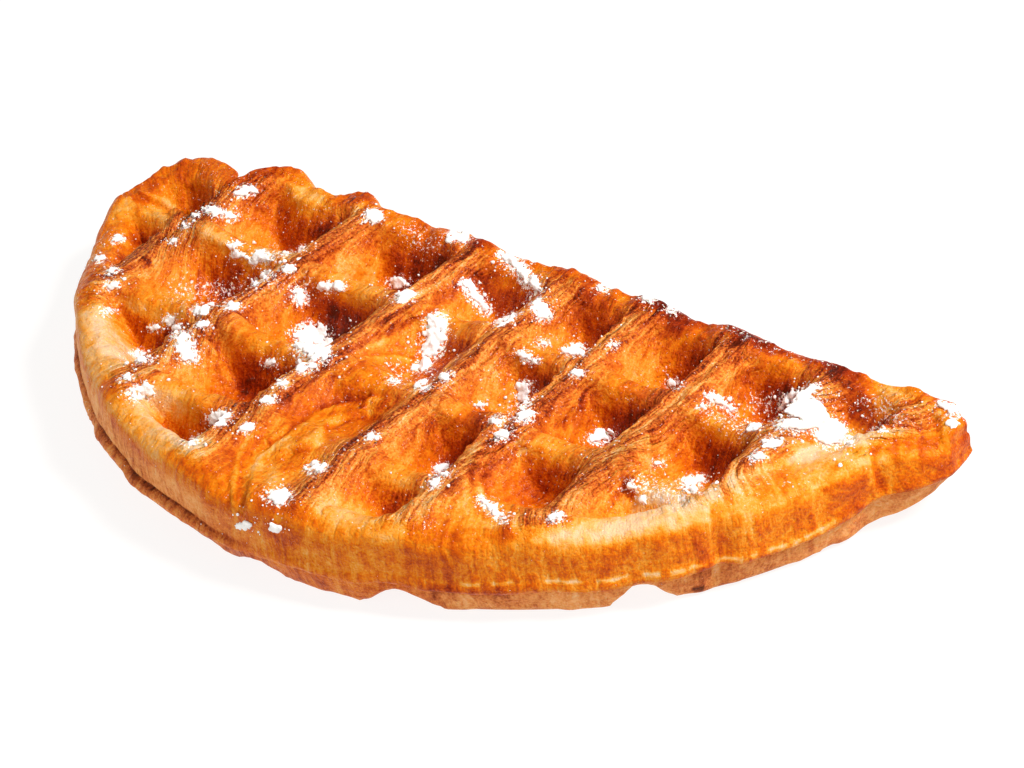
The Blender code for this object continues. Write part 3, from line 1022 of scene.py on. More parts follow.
@dataclass
class Croffle:
    """The pastry: one closed shell whose upper side, side wall and underside follow the iron."""

    moon: HalfMoon
    iron: IronGrid
    finish: CrustFinish
    spills: tuple["Spill", ...]
    towards: Vector
    fine: Relief = Relief()
    bake_and_shading_steps: BakeAndShading = BakeAndShading()
    middle: np.ndarray = field(default_factory=lambda: np.zeros(3))
    columns: int = 350
    rows: int = 152
    wall_levels: int = 32
    level_spread: tuple[tuple[float, float], ...] = (
        (0.00, 0.00), (0.11, 0.08), (0.36, 0.44), (0.72, 0.66), (0.86, 0.86), (1.00, 1.00),
    )
    underside_inset: float = 0.13
    side_profile: tuple[tuple[float, float], ...] = (
        (0.00, 0.000), (0.04, 0.040), (0.12, 0.075), (0.24, 0.095), (0.36, 0.110), (0.46, 0.125),
        (0.54, 0.150), (0.58, 0.140), (0.62, 0.085), (0.76, 0.085), (0.92, 0.065), (1.00, 0.060),
    )
    side_fold: tuple[float, float, float, float] = (0.06, 6.95, 0.98, 0.10)
    flash_level: float = 0.60
    flange: tuple[float, float] = (math.radians(272.0), math.radians(255.0))
    band_start: tuple[float, float] = (math.radians(285.0), math.radians(293.0))
    straight_side: tuple[float, float] = (3.1, 2.9)
    pale_seam: tuple[float, float] = (math.radians(286.0), math.radians(296.0))
    high_seam: tuple[float, float] = (math.radians(322.0), math.radians(312.0))
    tip_seam: tuple[float, float, float] = (0.10, math.radians(332.0), math.radians(346.0))
    headroom: float = 0.00025
    top_softness: float = 0.00010
    underside_share: float = 0.16
    strand_width: float = 0.0013
    dull_crests: float = 0.36
    leaf_edges: tuple[LeafEdge, ...] = (
        LeafEdge(((3.36, 2.60), (3.32, 2.05), (3.22, 1.75), (3.12, 1.45), (3.05, 1.20), (3.00, 0.95),
                  (2.97, 0.60), (2.95, 0.30)), Side.LEFT, 0.0007, 0.14, 0.05),
        LeafEdge(((3.12, 3.05), (3.10, 2.50), (3.12, 2.00), (3.02, 1.60), (2.95, 1.30)),
                 Side.LEFT, 0.0004, 0.08),
        LeafEdge(((3.90, 0.97), (3.60, 0.88), (3.42, 0.70), (3.30, 0.50), (3.28, 0.30), (3.22, 0.05),
                  (3.22, -0.20), (3.32, -0.45), (3.50, -0.70), (3.64, -0.95)), Side.LEFT, 0.0007, 0.12, 0.04),
        LeafEdge(((3.85, 0.74), (3.60, 0.62), (3.50, 0.40), (3.52, 0.15), (3.45, 0.00), (3.36, -0.12)),
                 Side.RIGHT, 0.0006, 0.10),
        LeafEdge(((3.62, 1.46), (3.35, 1.40), (3.20, 1.28), (3.10, 1.10)), Side.LEFT, 0.0006, 0.12),
        LeafEdge(((2.95, 0.15), (3.05, -0.25), (3.25, -0.60), (3.50, -0.95)), Side.LEFT, 0.0004, 0.08, 0.025),
        LeafEdge(((3.15, 0.35), (3.12, 0.00), (3.20, -0.35), (3.42, -0.70)), Side.LEFT, 0.0004, 0.08, 0.025),
        LeafEdge(((4.70, 1.25), (4.75, 0.90), (4.82, 0.65), (4.92, 0.42), (5.05, 0.20), (5.28, -0.02)),
                 Side.RIGHT, 0.0005, 0.10),
        LeafEdge(((4.88, 1.00), (4.93, 0.65), (5.05, 0.40), (5.25, 0.18)), Side.RIGHT, 0.0005, 0.10, 0.03),
        LeafEdge(((5.02, 1.80), (5.14, 1.60), (5.20, 1.45), (5.14, 1.22)), Side.RIGHT, 0.0005, 0.10),
        LeafEdge(((5.82, 1.66), (6.00, 1.42), (6.15, 1.20), (6.24, 1.08)), Side.RIGHT, 0.0006, 0.10),
        LeafEdge(((5.78, 1.35), (5.92, 1.08), (6.10, 0.85), (6.32, 0.68)), Side.RIGHT, 0.0005, 0.10),
        LeafEdge(((6.06, 2.75), (5.98, 2.50), (6.02, 2.30), (6.18, 2.12)), Side.LEFT, 0.0005, 0.10),
        LeafEdge(((1.40, 0.98), (1.45, 0.85), (1.52, 0.70), (1.57, 0.48)), Side.LEFT, 0.0008, 0.12),
        LeafEdge(((0.44, 2.30), (0.48, 2.00), (0.47, 1.74)), Side.RIGHT, 0.0006, 0.10),
        LeafEdge(((-0.20, 2.30), (0.10, 2.28), (0.32, 2.20), (0.48, 2.30)), Side.LEFT, 0.0006, 0.10),
        LeafEdge(((1.62, 0.97), (1.85, 0.85), (2.10, 0.66), (2.42, 0.45)), Side.RIGHT, 0.0005, 0.08),
        LeafEdge(((1.05, 1.70), (1.15, 1.42), (1.32, 1.20), (1.50, 1.06)), Side.RIGHT, 0.0004, 0.08, 0.025),
        LeafEdge(((7.40, 2.36), (7.62, 2.14), (7.85, 1.93), (8.06, 1.74)), Side.RIGHT, 0.0006, 0.10),
        LeafEdge(((7.48, 2.62), (7.72, 2.42), (7.95, 2.12)), Side.LEFT, 0.0004, 0.07, 0.025),
        LeafEdge(((7.60, 2.74), (7.84, 2.56), (8.04, 2.26)), Side.RIGHT, 0.0004, 0.07, 0.025),
        LeafEdge(((7.80, 2.84), (7.98, 2.68), (8.14, 2.42)), Side.LEFT, 0.0005, 0.07, 0.025),
    )
    puffed: tuple[Puff, ...] = puffs(
        (3.38, 1.18, 3.30, 0.95, 0.17, 0.7), (3.38, 0.08, 3.36, -0.12, 0.07, 0.4),
        (3.48, -0.25, 3.58, -0.48, 0.06, 0.4), (5.08, 0.95, 5.20, 0.55, 0.07, 0.4),
        (5.05, 1.60, 5.12, 1.40, 0.06, 0.3), (6.05, 2.60, 6.05, 2.35, 0.08, 0.5),
        (0.70, 2.15, 1.05, 2.10, 0.07, 0.4), (0.45, 1.65, 0.75, 1.30, 0.15, 0.5),
        (1.90, 1.10, 2.20, 0.95, 0.12, 0.5), (2.10, 2.65, 2.35, 2.35, 0.15, 0.6),
        (5.30, 2.55, 5.52, 2.30, 0.14, 0.6), (4.20, 1.60, 4.50, 1.45, 0.15, 0.6),
        (1.15, 3.05, 1.40, 2.95, 0.10, 0.4), (2.00, 0.30, 2.35, 0.10, 0.12, 0.6),
        (4.05, 0.75, 4.30, 0.50, 0.15, 0.6), (6.15, 1.60, 6.35, 1.40, 0.12, 0.5),
    )
    swollen_rim: tuple[Puff, ...] = puffs(
        (0.02, 2.85, 0.32, 2.88, 0.22, 1.6), (7.92, 2.90, 8.10, 2.66, 0.15, 2.2),
    )
    pale_rims: tuple[tuple[float, float, float], ...] = (
        (230.0, 12.0, 0.60), (251.0, 7.0, 0.80), (318.0, 10.0, 0.6), (340.0, 7.0, 0.5),
    )
    paler: tuple[Stain, ...] = stains(
        (0.70, 0.68, 1.35, 0.36, 0.15, -0.32), (0.80, 0.97, 1.30, 0.88, 0.08, -0.25),
        (0.70, 2.10, 1.05, 2.05, 0.08, -0.18), (0.15, 2.20, 0.40, 2.12, 0.08, -0.16),
        (-0.15, 2.15, -0.05, 1.80, 0.08, -0.15), (1.15, 3.02, 1.40, 2.95, 0.09, -0.18),
        (1.90, 0.00, 2.70, -0.34, 0.15, -0.46), (4.10, -0.45, 4.75, -0.52, 0.16, -0.22),
        (5.75, 0.05, 6.00, 0.12, 0.12, -0.24), (6.05, 0.14, 6.80, 0.82, 0.13, -0.25),
        (6.74, 1.15, 7.20, 1.98, 0.09, -0.28), (7.20, 2.00, 7.50, 2.32, 0.09, -0.28),
        (6.80, 1.45, 7.12, 1.10, 0.10, -0.17), (7.15, 1.88, 7.75, 2.12, 0.09, -0.20),
        (7.42, 2.60, 7.48, 2.30, 0.07, -0.12), (6.42, 0.78, 6.80, 1.02, 0.14, -0.36),
        (6.98, 3.02, 7.45, 2.92, 0.12, -0.14), (5.98, 2.55, 6.12, 2.25, 0.08, -0.12),
        (3.30, 0.05, 3.38, -0.15, 0.07, -0.20), (3.45, -0.30, 3.60, -0.50, 0.06, -0.15),
        (3.05, 0.30, 3.35, -0.35, 0.05, -0.12), (5.05, 0.95, 5.25, 0.60, 0.06, -0.14),
        (6.85, 0.95, 7.45, 0.30, 0.03, -0.20), (4.55, 0.05, 4.95, 0.02, 0.13, -0.17),
        (4.72, -0.10, 4.82, -0.42, 0.07, -0.20), (5.32, -0.08, 5.62, 0.06, 0.07, -0.16),
    )
    darker: tuple[Stain, ...] = stains(
        (0.05, 2.75, 0.40, 2.42, 0.20, 0.20), (3.00, 0.62, 3.06, 0.20, 0.15, 0.10),
        (1.45, 3.10, 1.75, 3.20, 0.14, 0.26), (4.75, 3.25, 5.35, 3.12, 0.20, 0.26),
        (5.70, 3.10, 6.70, 3.00, 0.14, 0.24), (4.50, 1.02, 4.78, 0.90, 0.16, 0.34),
        (5.00, 3.08, 5.30, 2.85, 0.14, 0.24), (3.35, 2.60, 3.75, 2.40, 0.14, 0.22),
        (5.95, 1.00, 6.05, 0.88, 0.10, 0.10),
        (5.85, 0.75, 6.10, 0.85, 0.10, 0.14), (4.55, 1.85, 4.70, 1.70, 0.13, 0.20),
        (8.08, 2.92, 8.28, 2.60, 0.07, 0.22), (-0.12, 2.58, -0.04, 2.30, 0.12, 0.15),
        (3.05, -0.62, 4.10, -0.94, 0.20, 0.13), (5.62, -0.96, 6.05, -0.76, 0.13, 0.22),
        (6.95, 2.92, 7.25, 2.62, 0.13, 0.28), (7.60, 2.17, 7.98, 1.80, 0.05, 0.18),
        (3.22, 2.90, 3.24, 2.20, 0.14, 0.06), (3.24, 2.20, 3.12, 1.50, 0.11, 0.06),
        (3.06, 1.45, 2.98, 0.90, 0.08, 0.05), (6.05, 1.05, 6.20, 0.80, 0.07, 0.20),
        (1.60, 2.72, 1.80, 2.50, 0.12, 0.15), (2.40, 2.95, 2.95, 2.80, 0.14, 0.12),
        (0.42, 2.20, 0.48, 1.80, 0.05, 0.20), (1.45, 1.75, 1.62, 1.55, 0.12, 0.08),
        (2.35, 1.80, 2.80, 1.45, 0.14, 0.08), (1.52, 0.95, 1.50, 0.65, 0.06, 0.18),
        (2.45, 0.85, 2.75, 0.45, 0.13, 0.10), (4.35, 2.85, 4.65, 2.75, 0.12, 0.24),
        (5.15, 2.95, 5.30, 2.75, 0.09, 0.14), (5.55, 2.80, 5.70, 2.55, 0.12, 0.06),
        (6.50, 2.70, 6.68, 2.35, 0.09, 0.12), (6.35, 1.75, 6.70, 1.45, 0.10, 0.08),
        (7.25, 2.75, 7.40, 2.45, 0.08, 0.12), (5.25, -0.25, 5.45, -0.50, 0.12, 0.16),
        (4.40, -0.10, 4.70, -0.28, 0.12, 0.08), (3.03, 1.25, 3.10, 0.90, 0.05, 0.12),
        (3.00, 0.90, 2.98, 0.40, 0.04, 0.12), (3.20, 0.60, 3.20, -0.10, 0.05, 0.10),
        (3.50, 0.85, 3.30, 0.55, 0.05, 0.12), (0.60, 1.50, 0.64, 1.48, 0.03, 0.60),
        (7.48, 0.00, 7.48, 0.01, 0.04, 0.60), (7.56, 1.60, 7.57, 1.60, 0.02, 0.50),
        (7.05, 0.28, 7.06, 0.28, 0.02, 0.50), (5.87, 2.88, 5.88, 2.88, 0.03, 0.60),
    )
    powdered: tuple[Stain, ...] = stains(
        (1.15, 1.35, 1.55, 1.55, 0.22, 0.62), (1.70, 1.75, 2.05, 1.85, 0.20, 0.50),
        (6.15, 0.95, 6.60, 0.95, 0.16, 0.75), (6.20, 2.05, 6.55, 1.95, 0.20, 0.62),
        (3.45, 1.25, 4.00, 1.30, 0.16, 0.50), (5.60, 3.10, 6.60, 3.05, 0.14, 0.60),
        (2.40, 2.95, 2.70, 2.80, 0.18, 0.55), (4.75, 1.30, 4.85, 0.95, 0.16, 0.60),
        (6.55, 2.30, 6.85, 2.55, 0.22, 0.65), (7.30, 2.75, 7.60, 2.60, 0.20, 0.55),
    )
    lumps: tuple[Lumps, ...] = field(default_factory=lambda: tuple(Lumps(seed) for seed in range(6)))

    def blank(self) -> bpy.types.Object:
        """A closed box of quads: a grid, extruded upwards, with its upright edges cut into levels.

        Returns:
            The box, from -0.5 to 0.5 each way in the plan and 0 to 1 in height.
        """
        select_none()
        bpy.ops.mesh.primitive_grid_add(x_subdivisions=self.columns, y_subdivisions=self.rows, size=1.0)
        slab = bpy.context.active_object
        slab.name = "baked_croffle"
        bpy.ops.object.mode_set(mode="EDIT")
        bpy.ops.mesh.select_all(action="SELECT")
        bpy.ops.mesh.extrude_region_move(TRANSFORM_OT_translate={"value": (0.0, 0.0, 1.0)})
        bpy.ops.mesh.select_all(action="DESELECT")
        shape = bmesh.from_edit_mesh(slab.data)
        shape.select_mode = {"EDGE"}
        for edge in shape.edges:
            edge.select_set(abs(edge.verts[0].co.z - edge.verts[1].co.z) > 0.5)
        bmesh.update_edit_mesh(slab.data)
        bpy.ops.mesh.subdivide(number_cuts=self.wall_levels - 1)
        bpy.ops.mesh.select_all(action="SELECT")
        bpy.ops.mesh.normals_make_consistent(inside=False)
        bpy.ops.object.mode_set(mode="OBJECT")
        return slab

    def survey(self, unit: np.ndarray) -> Survey:
        """What the grid says of each point of the box, whose sides run from -0.5 to 0.5 and 0 to 1.

        Args:
            unit: the points of the box, whose sides run from -0.5 to 0.5 and from 0 to 1.

        Returns:
            The survey, one value of each kind for each point.
        """
        iron = self.iron
        across = unit[:, 0] + 0.5
        along = unit[:, 1] + 0.5
        x, y = self.moon.plan(across, along)
        away = np.full(x.shape, np.inf)
        for corner_x, corner_y in self.moon.ring(self.columns):
            away = np.minimum(away, np.hypot(x - corner_x, y - corner_y))
        cross, lengthwise = iron.lines(x, y)
        column, from_left, from_right = iron.cell(x, cross)
        row, from_front, from_back = iron.cell(y, lengthwise)
        crest = iron.crest_half_width
        walls = (
            (from_left - crest) / iron.wall_facing_right,
            (from_right - crest) / iron.wall_facing_left,
            (from_back - crest) / iron.wall_facing_front,
            (from_front - crest) / iron.wall_facing_back,
            (away - iron.rim_width) / iron.rim_wall,
            np.ones(x.shape),
        )
        sunk = soft_positive(soft_least(walls, iron.corner_softness), iron.crest_softness)
        depth = iron.depths(column, row)
        crossing = np.minimum(from_left, from_right) / (from_left + from_right)
        sag = iron.ridge_sag * np.sin(math.pi * crossing) ** 2
        tip_drop, tip_start, tip_end = iron.tip_droop
        end_drop, end_start, end_end = iron.end_droop
        droop = tip_drop * ramp(x, tip_start, tip_end) + end_drop * ramp(-x, -end_start, -end_end)
        angle, radius = self.moon.arc_place(x, y)
        cross_crest = bell(np.minimum(from_left, from_right), iron.cross_crest_reach)
        long_crest = bell(np.minimum(from_front, from_back), iron.long_crest_reach) * (1.0 - cross_crest)
        round_drop, round_width = iron.edge_round
        seam_lift, lift_start, lift_end = self.tip_seam
        near_side = ramp(radius, *iron.rounded_radius) * ramp(y, *iron.rounded_y)
        rounding = near_side * round_drop * np.clip(1.0 - away / round_width, 0.0, 1.0) ** 2
        height = iron.thickness - droop - sag - depth * sunk - rounding
        low_x, low_y = self.drawn_in(x, y)
        pressed = iron.pressed_height(low_x, low_y, away)
        bottom = np.maximum(pressed, iron.notch_height(low_x, low_y))
        down = np.interp(1.0 - unit[:, 2], *zip(*self.level_spread))
        level = down * (height - bottom) / (height - pressed)
        level = level + seam_lift * ramp(angle, lift_start, lift_end) * ramp(down, 0.0, 0.4)
        return Survey(
            x=x,
            y=y,
            down=down,
            rim=away,
            angle=angle,
            radius=radius,
            sunk=np.clip(sunk, 0.0, 1.0),
            depth=depth,
            cross_crest=cross_crest,
            long_crest=long_crest,
            far_wall=ramp(from_back, 0.50, 0.22) * ramp(sunk, 0.08, 0.45),
            left_wall=ramp(from_left, 0.60, 0.25) * ramp(sunk, 0.08, 0.35),
            right_wall=ramp(from_right, 0.50, 0.20) * ramp(sunk, 0.14, 0.45),
            cell_slope=0.5 * (from_front - from_back),
            height=height,
            low_x=low_x,
            low_y=low_y,
            bottom=bottom,
            level=level,
        )

    def drawn_in(self, x: np.ndarray, y: np.ndarray) -> tuple[np.ndarray, np.ndarray]:
        """Where plan points of the upper side lie on the underside, which is a little smaller.

        Args:
            x: places along the piece, in pitches.
            y: places across the piece, in pitches.

        Returns:
            X and Y of each place on the underside.
        """
        ring = self.moon.ring(self.columns)
        centre = ring.mean(axis=0)
        reach = np.abs(ring - centre).max(axis=0)
        low_x = centre[0] + (x - centre[0]) * (1.0 - self.underside_inset / reach[0])
        low_y = centre[1] + (y - centre[1]) * (1.0 - self.underside_inset / reach[1])
        return low_x, low_y

    def outward(self, x: np.ndarray, y: np.ndarray) -> np.ndarray:
        """Unit vectors that point out of the outline at plan points on it.

        Args:
            x: places along the piece, in pitches.
            y: places across the piece, in pitches.

        Returns:
            One row of X and Y for each place.
        """
        ring = self.moon.ring(self.columns)
        span = max(1, round(self.moon.normal_span * self.columns))
        ahead = np.roll(ring, -span, axis=0) - np.roll(ring, span, axis=0)
        normals = np.stack((ahead[:, 1], -ahead[:, 0]), axis=1)
        normals = normals / np.linalg.norm(normals, axis=1)[:, None]
        nearest = np.empty(len(x), dtype=int)
        for start in range(0, len(x), 4096):
            part = slice(start, start + 4096)
            gaps = np.hypot(x[part, None] - ring[None, :, 0], y[part, None] - ring[None, :, 1])
            nearest[part] = np.argmin(gaps, axis=1)
        return normals[nearest]

    def shaped(self, seen: Survey) -> np.ndarray:
        """Where each point goes, in pitches, before the fine relief.

        Args:
            seen: what is known of each point.

        Returns:
            One row of X, Y and Z for each point.
        """
        parts, swells = zip(*self.side_profile)
        bulge = np.interp(seen.level, parts, swells) * np.interp(seen.down, (0.92, 1.0), (1.0, 0.0))
        depth, fold_x, fold_y, half_width = self.side_fold
        fold = depth * bell(np.hypot(seen.x - fold_x, seen.y - fold_y), half_width)
        bulge = bulge - fold * np.sin(math.pi * seen.down)
        placed = np.stack((
            seen.x + (seen.low_x - seen.x) * seen.down,
            seen.y + (seen.low_y - seen.y) * seen.down,
            seen.height + (seen.bottom - seen.height) * seen.down,
        ), axis=1)
        on_wall = (seen.down > TOP_SIDE) & (seen.down < UNDERSIDE)
        out = self.outward(seen.x[on_wall], seen.y[on_wall])
        placed[on_wall, :2] += out * bulge[on_wall, None]
        return placed

    def grain(self, seen: Survey, points: np.ndarray) -> np.ndarray:
        """Places in the dough: across its layers, along them, and height, in metres.

        Args:
            seen: what is known of each point.
            points: places on the piece, in metres.

        Returns:
            One row of three for each point.
        """
        straight = seen.x - self.iron.lean(seen.x) * (seen.y - self.iron.cross_level)
        straight = straight + 0.35 * seen.cell_slope * seen.left_wall
        bent = self.moon.arc_centre[0] + self.moon.arc_radius * (seen.angle - math.radians(270.0))
        turned = ramp(seen.radius, 2.9, 3.9) * ramp(seen.y, 3.0, 1.6)
        across = straight + (bent - straight) * turned
        return np.stack((across * self.iron.pitch, seen.y * self.iron.pitch, points[:, 2]), axis=1)

    def strands(self, grain: np.ndarray) -> np.ndarray:
        """The number of the strand of dough at each point, with its share of the way to the next one.

        Args:
            grain: places in the dough, as the method grain gives them.

        Returns:
            A number for each point.
        """
        layers = self.lumps[2]
        folds = self.lumps[4]
        bend = layers.at(grain, (0.0080, 0.034, 0.034)) + 0.35 * folds.at(grain, (0.0040, 0.018, 0.018))
        return grain[:, 0] / self.strand_width + bend

    def relief(self, seen: Survey, points: np.ndarray, grain: np.ndarray) -> np.ndarray:
        """How far each point stands out of the pressed shape, in metres.

        Args:
            seen: what is known of each point.
            points: places on the piece, in metres.
            grain: places in the dough, as the method grain gives them.

        Returns:
            A height for each point, outwards from the surface.
        """
        puff, crumple, layers, ragged, folds, _ = self.lumps
        fine = self.fine
        crest = (1.0 - 0.6 * seen.sunk) * seen.cross_crest * ramp(seen.rim, 0.0, 0.12)
        height = fine.puff * puff.at(points, fine.puff_spacing)
        height = height + fine.crumple * crumple.at(points, fine.crumple_spacing)
        strength = 0.22 + seen.top * (0.10 + 0.70 * crest)
        layer_lines = np.abs(layers.at(grain, fine.layer_spacing))
        thin_lines = np.abs(layers.at(grain + 0.02, fine.thin_layer_spacing))
        layered = fine.layer * (0.30 - layer_lines) + fine.thin_layer * (0.30 - thin_lines)
        height = height + strength * layered
        height = height + fine.fold * folds.at(grain, fine.fold_spacing)
        rag = ragged.at(points, 0.0013) + 0.6 * ragged.at(points + 0.01, 0.0008)
        crumbly = seen.top * (1.0 - seen.sunk) * (fine.crumb * rag - fine.crumb_cut)
        height = height + crumbly * ramp(seen.rim, -0.03, 0.08)
        far_edge = seen.top * ramp(seen.y, 2.70, 3.00) * ramp(seen.rim, 0.30, 0.05)
        height = height + far_edge * (fine.far_edge * ragged.at(points, 0.0021) + fine.far_crumb * rag)
        x, y = self.seen_place(points)
        wander = 0.03 * ragged.at(points, 0.0030)
        for edge in self.leaf_edges:
            raised, _, sunk = edge.marks(x + wander, y)
            height = height + ramp(seen.down, 0.55, 0.35) * edge.lift * (raised - 0.5 * sunk)
        for rise in self.puffed:
            height = height + seen.top * rise.lift * bell(rise.distance(x, y), rise.half_width)
        on_rim = seen.top * ramp(seen.sunk * seen.depth, 0.26, 0.10)
        for rise in self.swollen_rim:
            height = height + on_rim * rise.lift * bell(rise.distance(x, y), rise.half_width)
        height = height + self.seam(seen, ragged.at(points, 0.0030))
        under = ramp(seen.down, 0.93, 1.0)
        hem = bell(seen.down - 0.97, 0.06) * (seen.down < UNDERSIDE)
        return height * (1.0 - 0.8 * under) + fine.hem * hem * folds.at(points, 0.0035)

    def seam(self, seen: Survey, ragged: np.ndarray) -> np.ndarray:
        """The line on the side wall where the iron's plates met, which is a flange by the blunt end.

        Args:
            seen: what is known of each point.
            ragged: uneven lumps from -1 to 1 that bend the line.

        Returns:
            A height for each point, in metres.
        """
        level = seen.level + 0.012 * ragged
        fine = self.fine
        lip = bell(level - self.flash_level + 0.02, 0.026)
        crease = bell(level - self.flash_level + 0.085, 0.030)
        fine_crease = bell(level - self.flash_level - 0.03, 0.018)
        flange = self.on_flange(seen) * (fine.flange_lip * lip - fine.flange_crease * crease)
        return (1.0 - seen.top) * (fine.lip * lip - fine.lip * fine_crease + flange)

    def on_flange(self, seen: Survey) -> np.ndarray:
        """Where the wall has its flange, by the blunt end, from 0 to 1."""
        return ramp(seen.angle, *self.flange) * self.in_front(seen)

    def in_front(self, seen: Survey) -> np.ndarray:
        """1 on the curved side and both ends, fading to 0 at the straight side."""
        return ramp(seen.y, *self.straight_side)

    def pale_rim(self, seen: Survey) -> np.ndarray:
        """How pale the dough stayed on the rim of the curved side, from 0 to 1.

        Args:
            seen: what is known of each point.

        Returns:
            A share for each point.
        """
        degrees = np.degrees(seen.angle)
        share = sum(strength * bell(degrees - place, width) for place, width, strength in self.pale_rims)
        on_top = ramp(seen.rim, 0.30, 0.14) * (seen.down < TOP_SIDE)
        on_wall = ramp(seen.down, 0.11, 0.0) * (seen.down >= TOP_SIDE)
        near_side = ramp(seen.radius, 3.55, 3.85) * ramp(seen.y, 2.9, 2.4)
        return np.clip(share, 0.0, 1.0) * np.maximum(on_top, on_wall) * near_side

    def seen_place(self, points: np.ndarray) -> tuple[np.ndarray, np.ndarray]:
        """Where each point shows in the plan at the level of the ridge tops, from the camera's side.

        Args:
            points: places on the piece, in metres.

        Returns:
            X and Y of each point, in pitches.
        """
        pitch = self.iron.pitch
        back = (self.iron.thickness * pitch - points[:, 2]) / self.towards.z
        x = (points[:, 0] + self.middle[0] + back * self.towards.x) / pitch
        y = (points[:, 1] + self.middle[1] + back * self.towards.y) / pitch
        return x, y

    def bake_and_shading(self, seen: Survey, points: np.ndarray, grain: np.ndarray) -> np.ndarray:
        """How far each point baked, from 0 for pale dough to 1 for burnt, with painted shade and painted
        light added in.

        Args:
            seen: what is known of each point.
            points: places on the piece, in metres.
            grain: places in the dough, as the method grain gives them.

        Returns:
            A share for each point.
        """
        _, crumple, _, ragged, folds, spare = self.lumps
        tone_steps = self.bake_and_shading_steps
        deep = np.clip(seen.depth / self.iron.pocket_depth, 0.0, 1.0)
        crest = 1.0 - 0.7 * seen.sunk
        top = tone_steps.top + tone_steps.cross_crest * crest * seen.cross_crest
        top = top - tone_steps.long_crest * (1.0 - seen.sunk) * seen.long_crest
        # Far walls, turned from the lamp, get darker: partly a deeper bake and partly painted shade.
        far_wall = tone_steps.far_wall * seen.far_wall * (1.0 - 0.5 * seen.left_wall)
        # Walls that face the lamp are paler: painted light.
        top = top + deep * (far_wall - tone_steps.left_wall * seen.left_wall)
        # Deep pocket floors are darker: partly a deeper bake and partly painted shade in the recess.
        top = top + tone_steps.pocket_floor_bake_and_shade * deep * ramp(seen.sunk, 0.6, 1.0) * (1.0 - seen.left_wall)
        # Walls turned away from the lamp are darker and redder: painted shade.
        top = top + tone_steps.right_wall * deep * seen.right_wall * (1.0 - 0.5 * seen.far_wall)
        # Along the straight side the crust is darker: partly darker crumbs and partly painted shade.
        uneven = 0.6 + 0.7 * folds.at(points, 0.006)
        far_edge = tone_steps.far_edge * uneven * ramp(seen.y, *tone_steps.far_edge_y)
        top = top + far_edge * ramp(seen.x, *tone_steps.far_edge_left) * ramp(seen.x, *tone_steps.far_edge_right)
        dashes = ramp(ragged.at(grain, (0.0011, 0.02, 0.02)), -0.25, 0.10)
        dashes = dashes * ramp(seen.angle, *self.pale_seam) * ramp(seen.y, 2.2, 1.6)
        above_seam = 0.07 + 0.06 * ramp(seen.angle, *self.high_seam)
        wave = 0.016 * crumple.at(grain, (0.0012, 0.02, 0.02))
        crease = bell(seen.level - self.flash_level + above_seam + wave, 0.022) * dashes
        # Under the flange's lip the wall is darker: painted shade in the crease.
        under_lip_shade = self.on_flange(seen) * bell(seen.level - self.flash_level + 0.085, 0.03)
        wall = tone_steps.side_wall + tone_steps.below_rim * ramp(seen.down, 0.03, 0.16)
        wall = wall - tone_steps.crease * crease + tone_steps.under_lip_shade * under_lip_shade
        wall = wall + tone_steps.below_seam * ramp(seen.level, self.flash_level, self.flash_level + 0.06)
        fringe = 0.85 + 0.35 * ragged.at(grain, (0.0012, 0.012, 0.012))
        # The share built here is the bake with painted shade and painted light added in; the crust's colour
        # ramp reads it.
        baked = wall + (top - wall) * seen.top - tone_steps.pale_rim * fringe * self.pale_rim(seen)
        x, y = self.seen_place(points)
        wander = 0.06 * crumple.at(points, 0.004)
        shown = (seen.down < 0.95).astype(float)
        for stain in (*self.paler, *self.darker):
            away = stain.distance(x + wander, y - wander)
            baked = baked + shown * stain.amount * bell(away, stain.half_width)
        # Along each layer edge the raised edge is paler, a painted highlight, and the groove beside it
        # darker, painted shade.
        for leaf in self.leaf_edges:
            _, edge, sunk = leaf.marks(x + wander, y)
            baked = baked + shown * (tone_steps.leaf_groove_shade * sunk - tone_steps.leaf_edge_highlight * edge)
        baked = baked + tone_steps.patches * spare.at(points, 0.011)
        baked = baked + tone_steps.streaks * folds.at(grain, (0.004, 0.02, 0.02))
        return np.clip(baked, 0.0, 1.0)

    def dusting(self, points: np.ndarray) -> np.ndarray:
        """How thickly fine sugar lies at each point, from 0 to 1: more beside the spills.

        Args:
            points: places on the piece, in metres.

        Returns:
            A share for each point.
        """
        x, y = self.seen_place(points)
        thick = np.zeros(len(points))
        for spill in self.spills:
            away = np.maximum(spill.distance(x, y) - 0.6 * spill.half_width, 0.0)
            thick = np.maximum(thick, bell(away, 0.04 + 0.4 * spill.half_width))
        for patch in self.powdered:
            thick = np.maximum(thick, patch.amount * bell(patch.distance(x, y), patch.half_width))
        film = 0.05 + 0.30 * self.lumps[3].at(points, 0.007)
        return np.maximum(0.12 + 0.75 * thick, film)

    def matte(self, seen: Survey) -> np.ndarray:
        """Where the crust is dull and pinkish, from 0 to 1.

        That is below the seam from band_start to the pointed end, above it on the wall by the blunt
        end, and a little on the crests of the cross ridges.

        Args:
            seen: what is known of each point.

        Returns:
            A share for each point.
        """
        below = ramp(seen.level, self.flash_level - 0.01, self.flash_level + 0.03)
        above = ramp(seen.level, 0.10, 0.30) * ramp(seen.level, self.flash_level, self.flash_level - 0.06)
        blunt = self.on_flange(seen) * above
        crest = self.dull_crests * seen.top * (1.0 - seen.sunk) * seen.cross_crest
        crest = crest * ramp(seen.rim, 0.05, 0.25)
        golden = self.in_front(seen) * (1.0 - ramp(seen.angle, *self.band_start))
        return np.maximum(np.maximum(below * (1.0 - 0.8 * golden), 0.95 * blunt), crest)

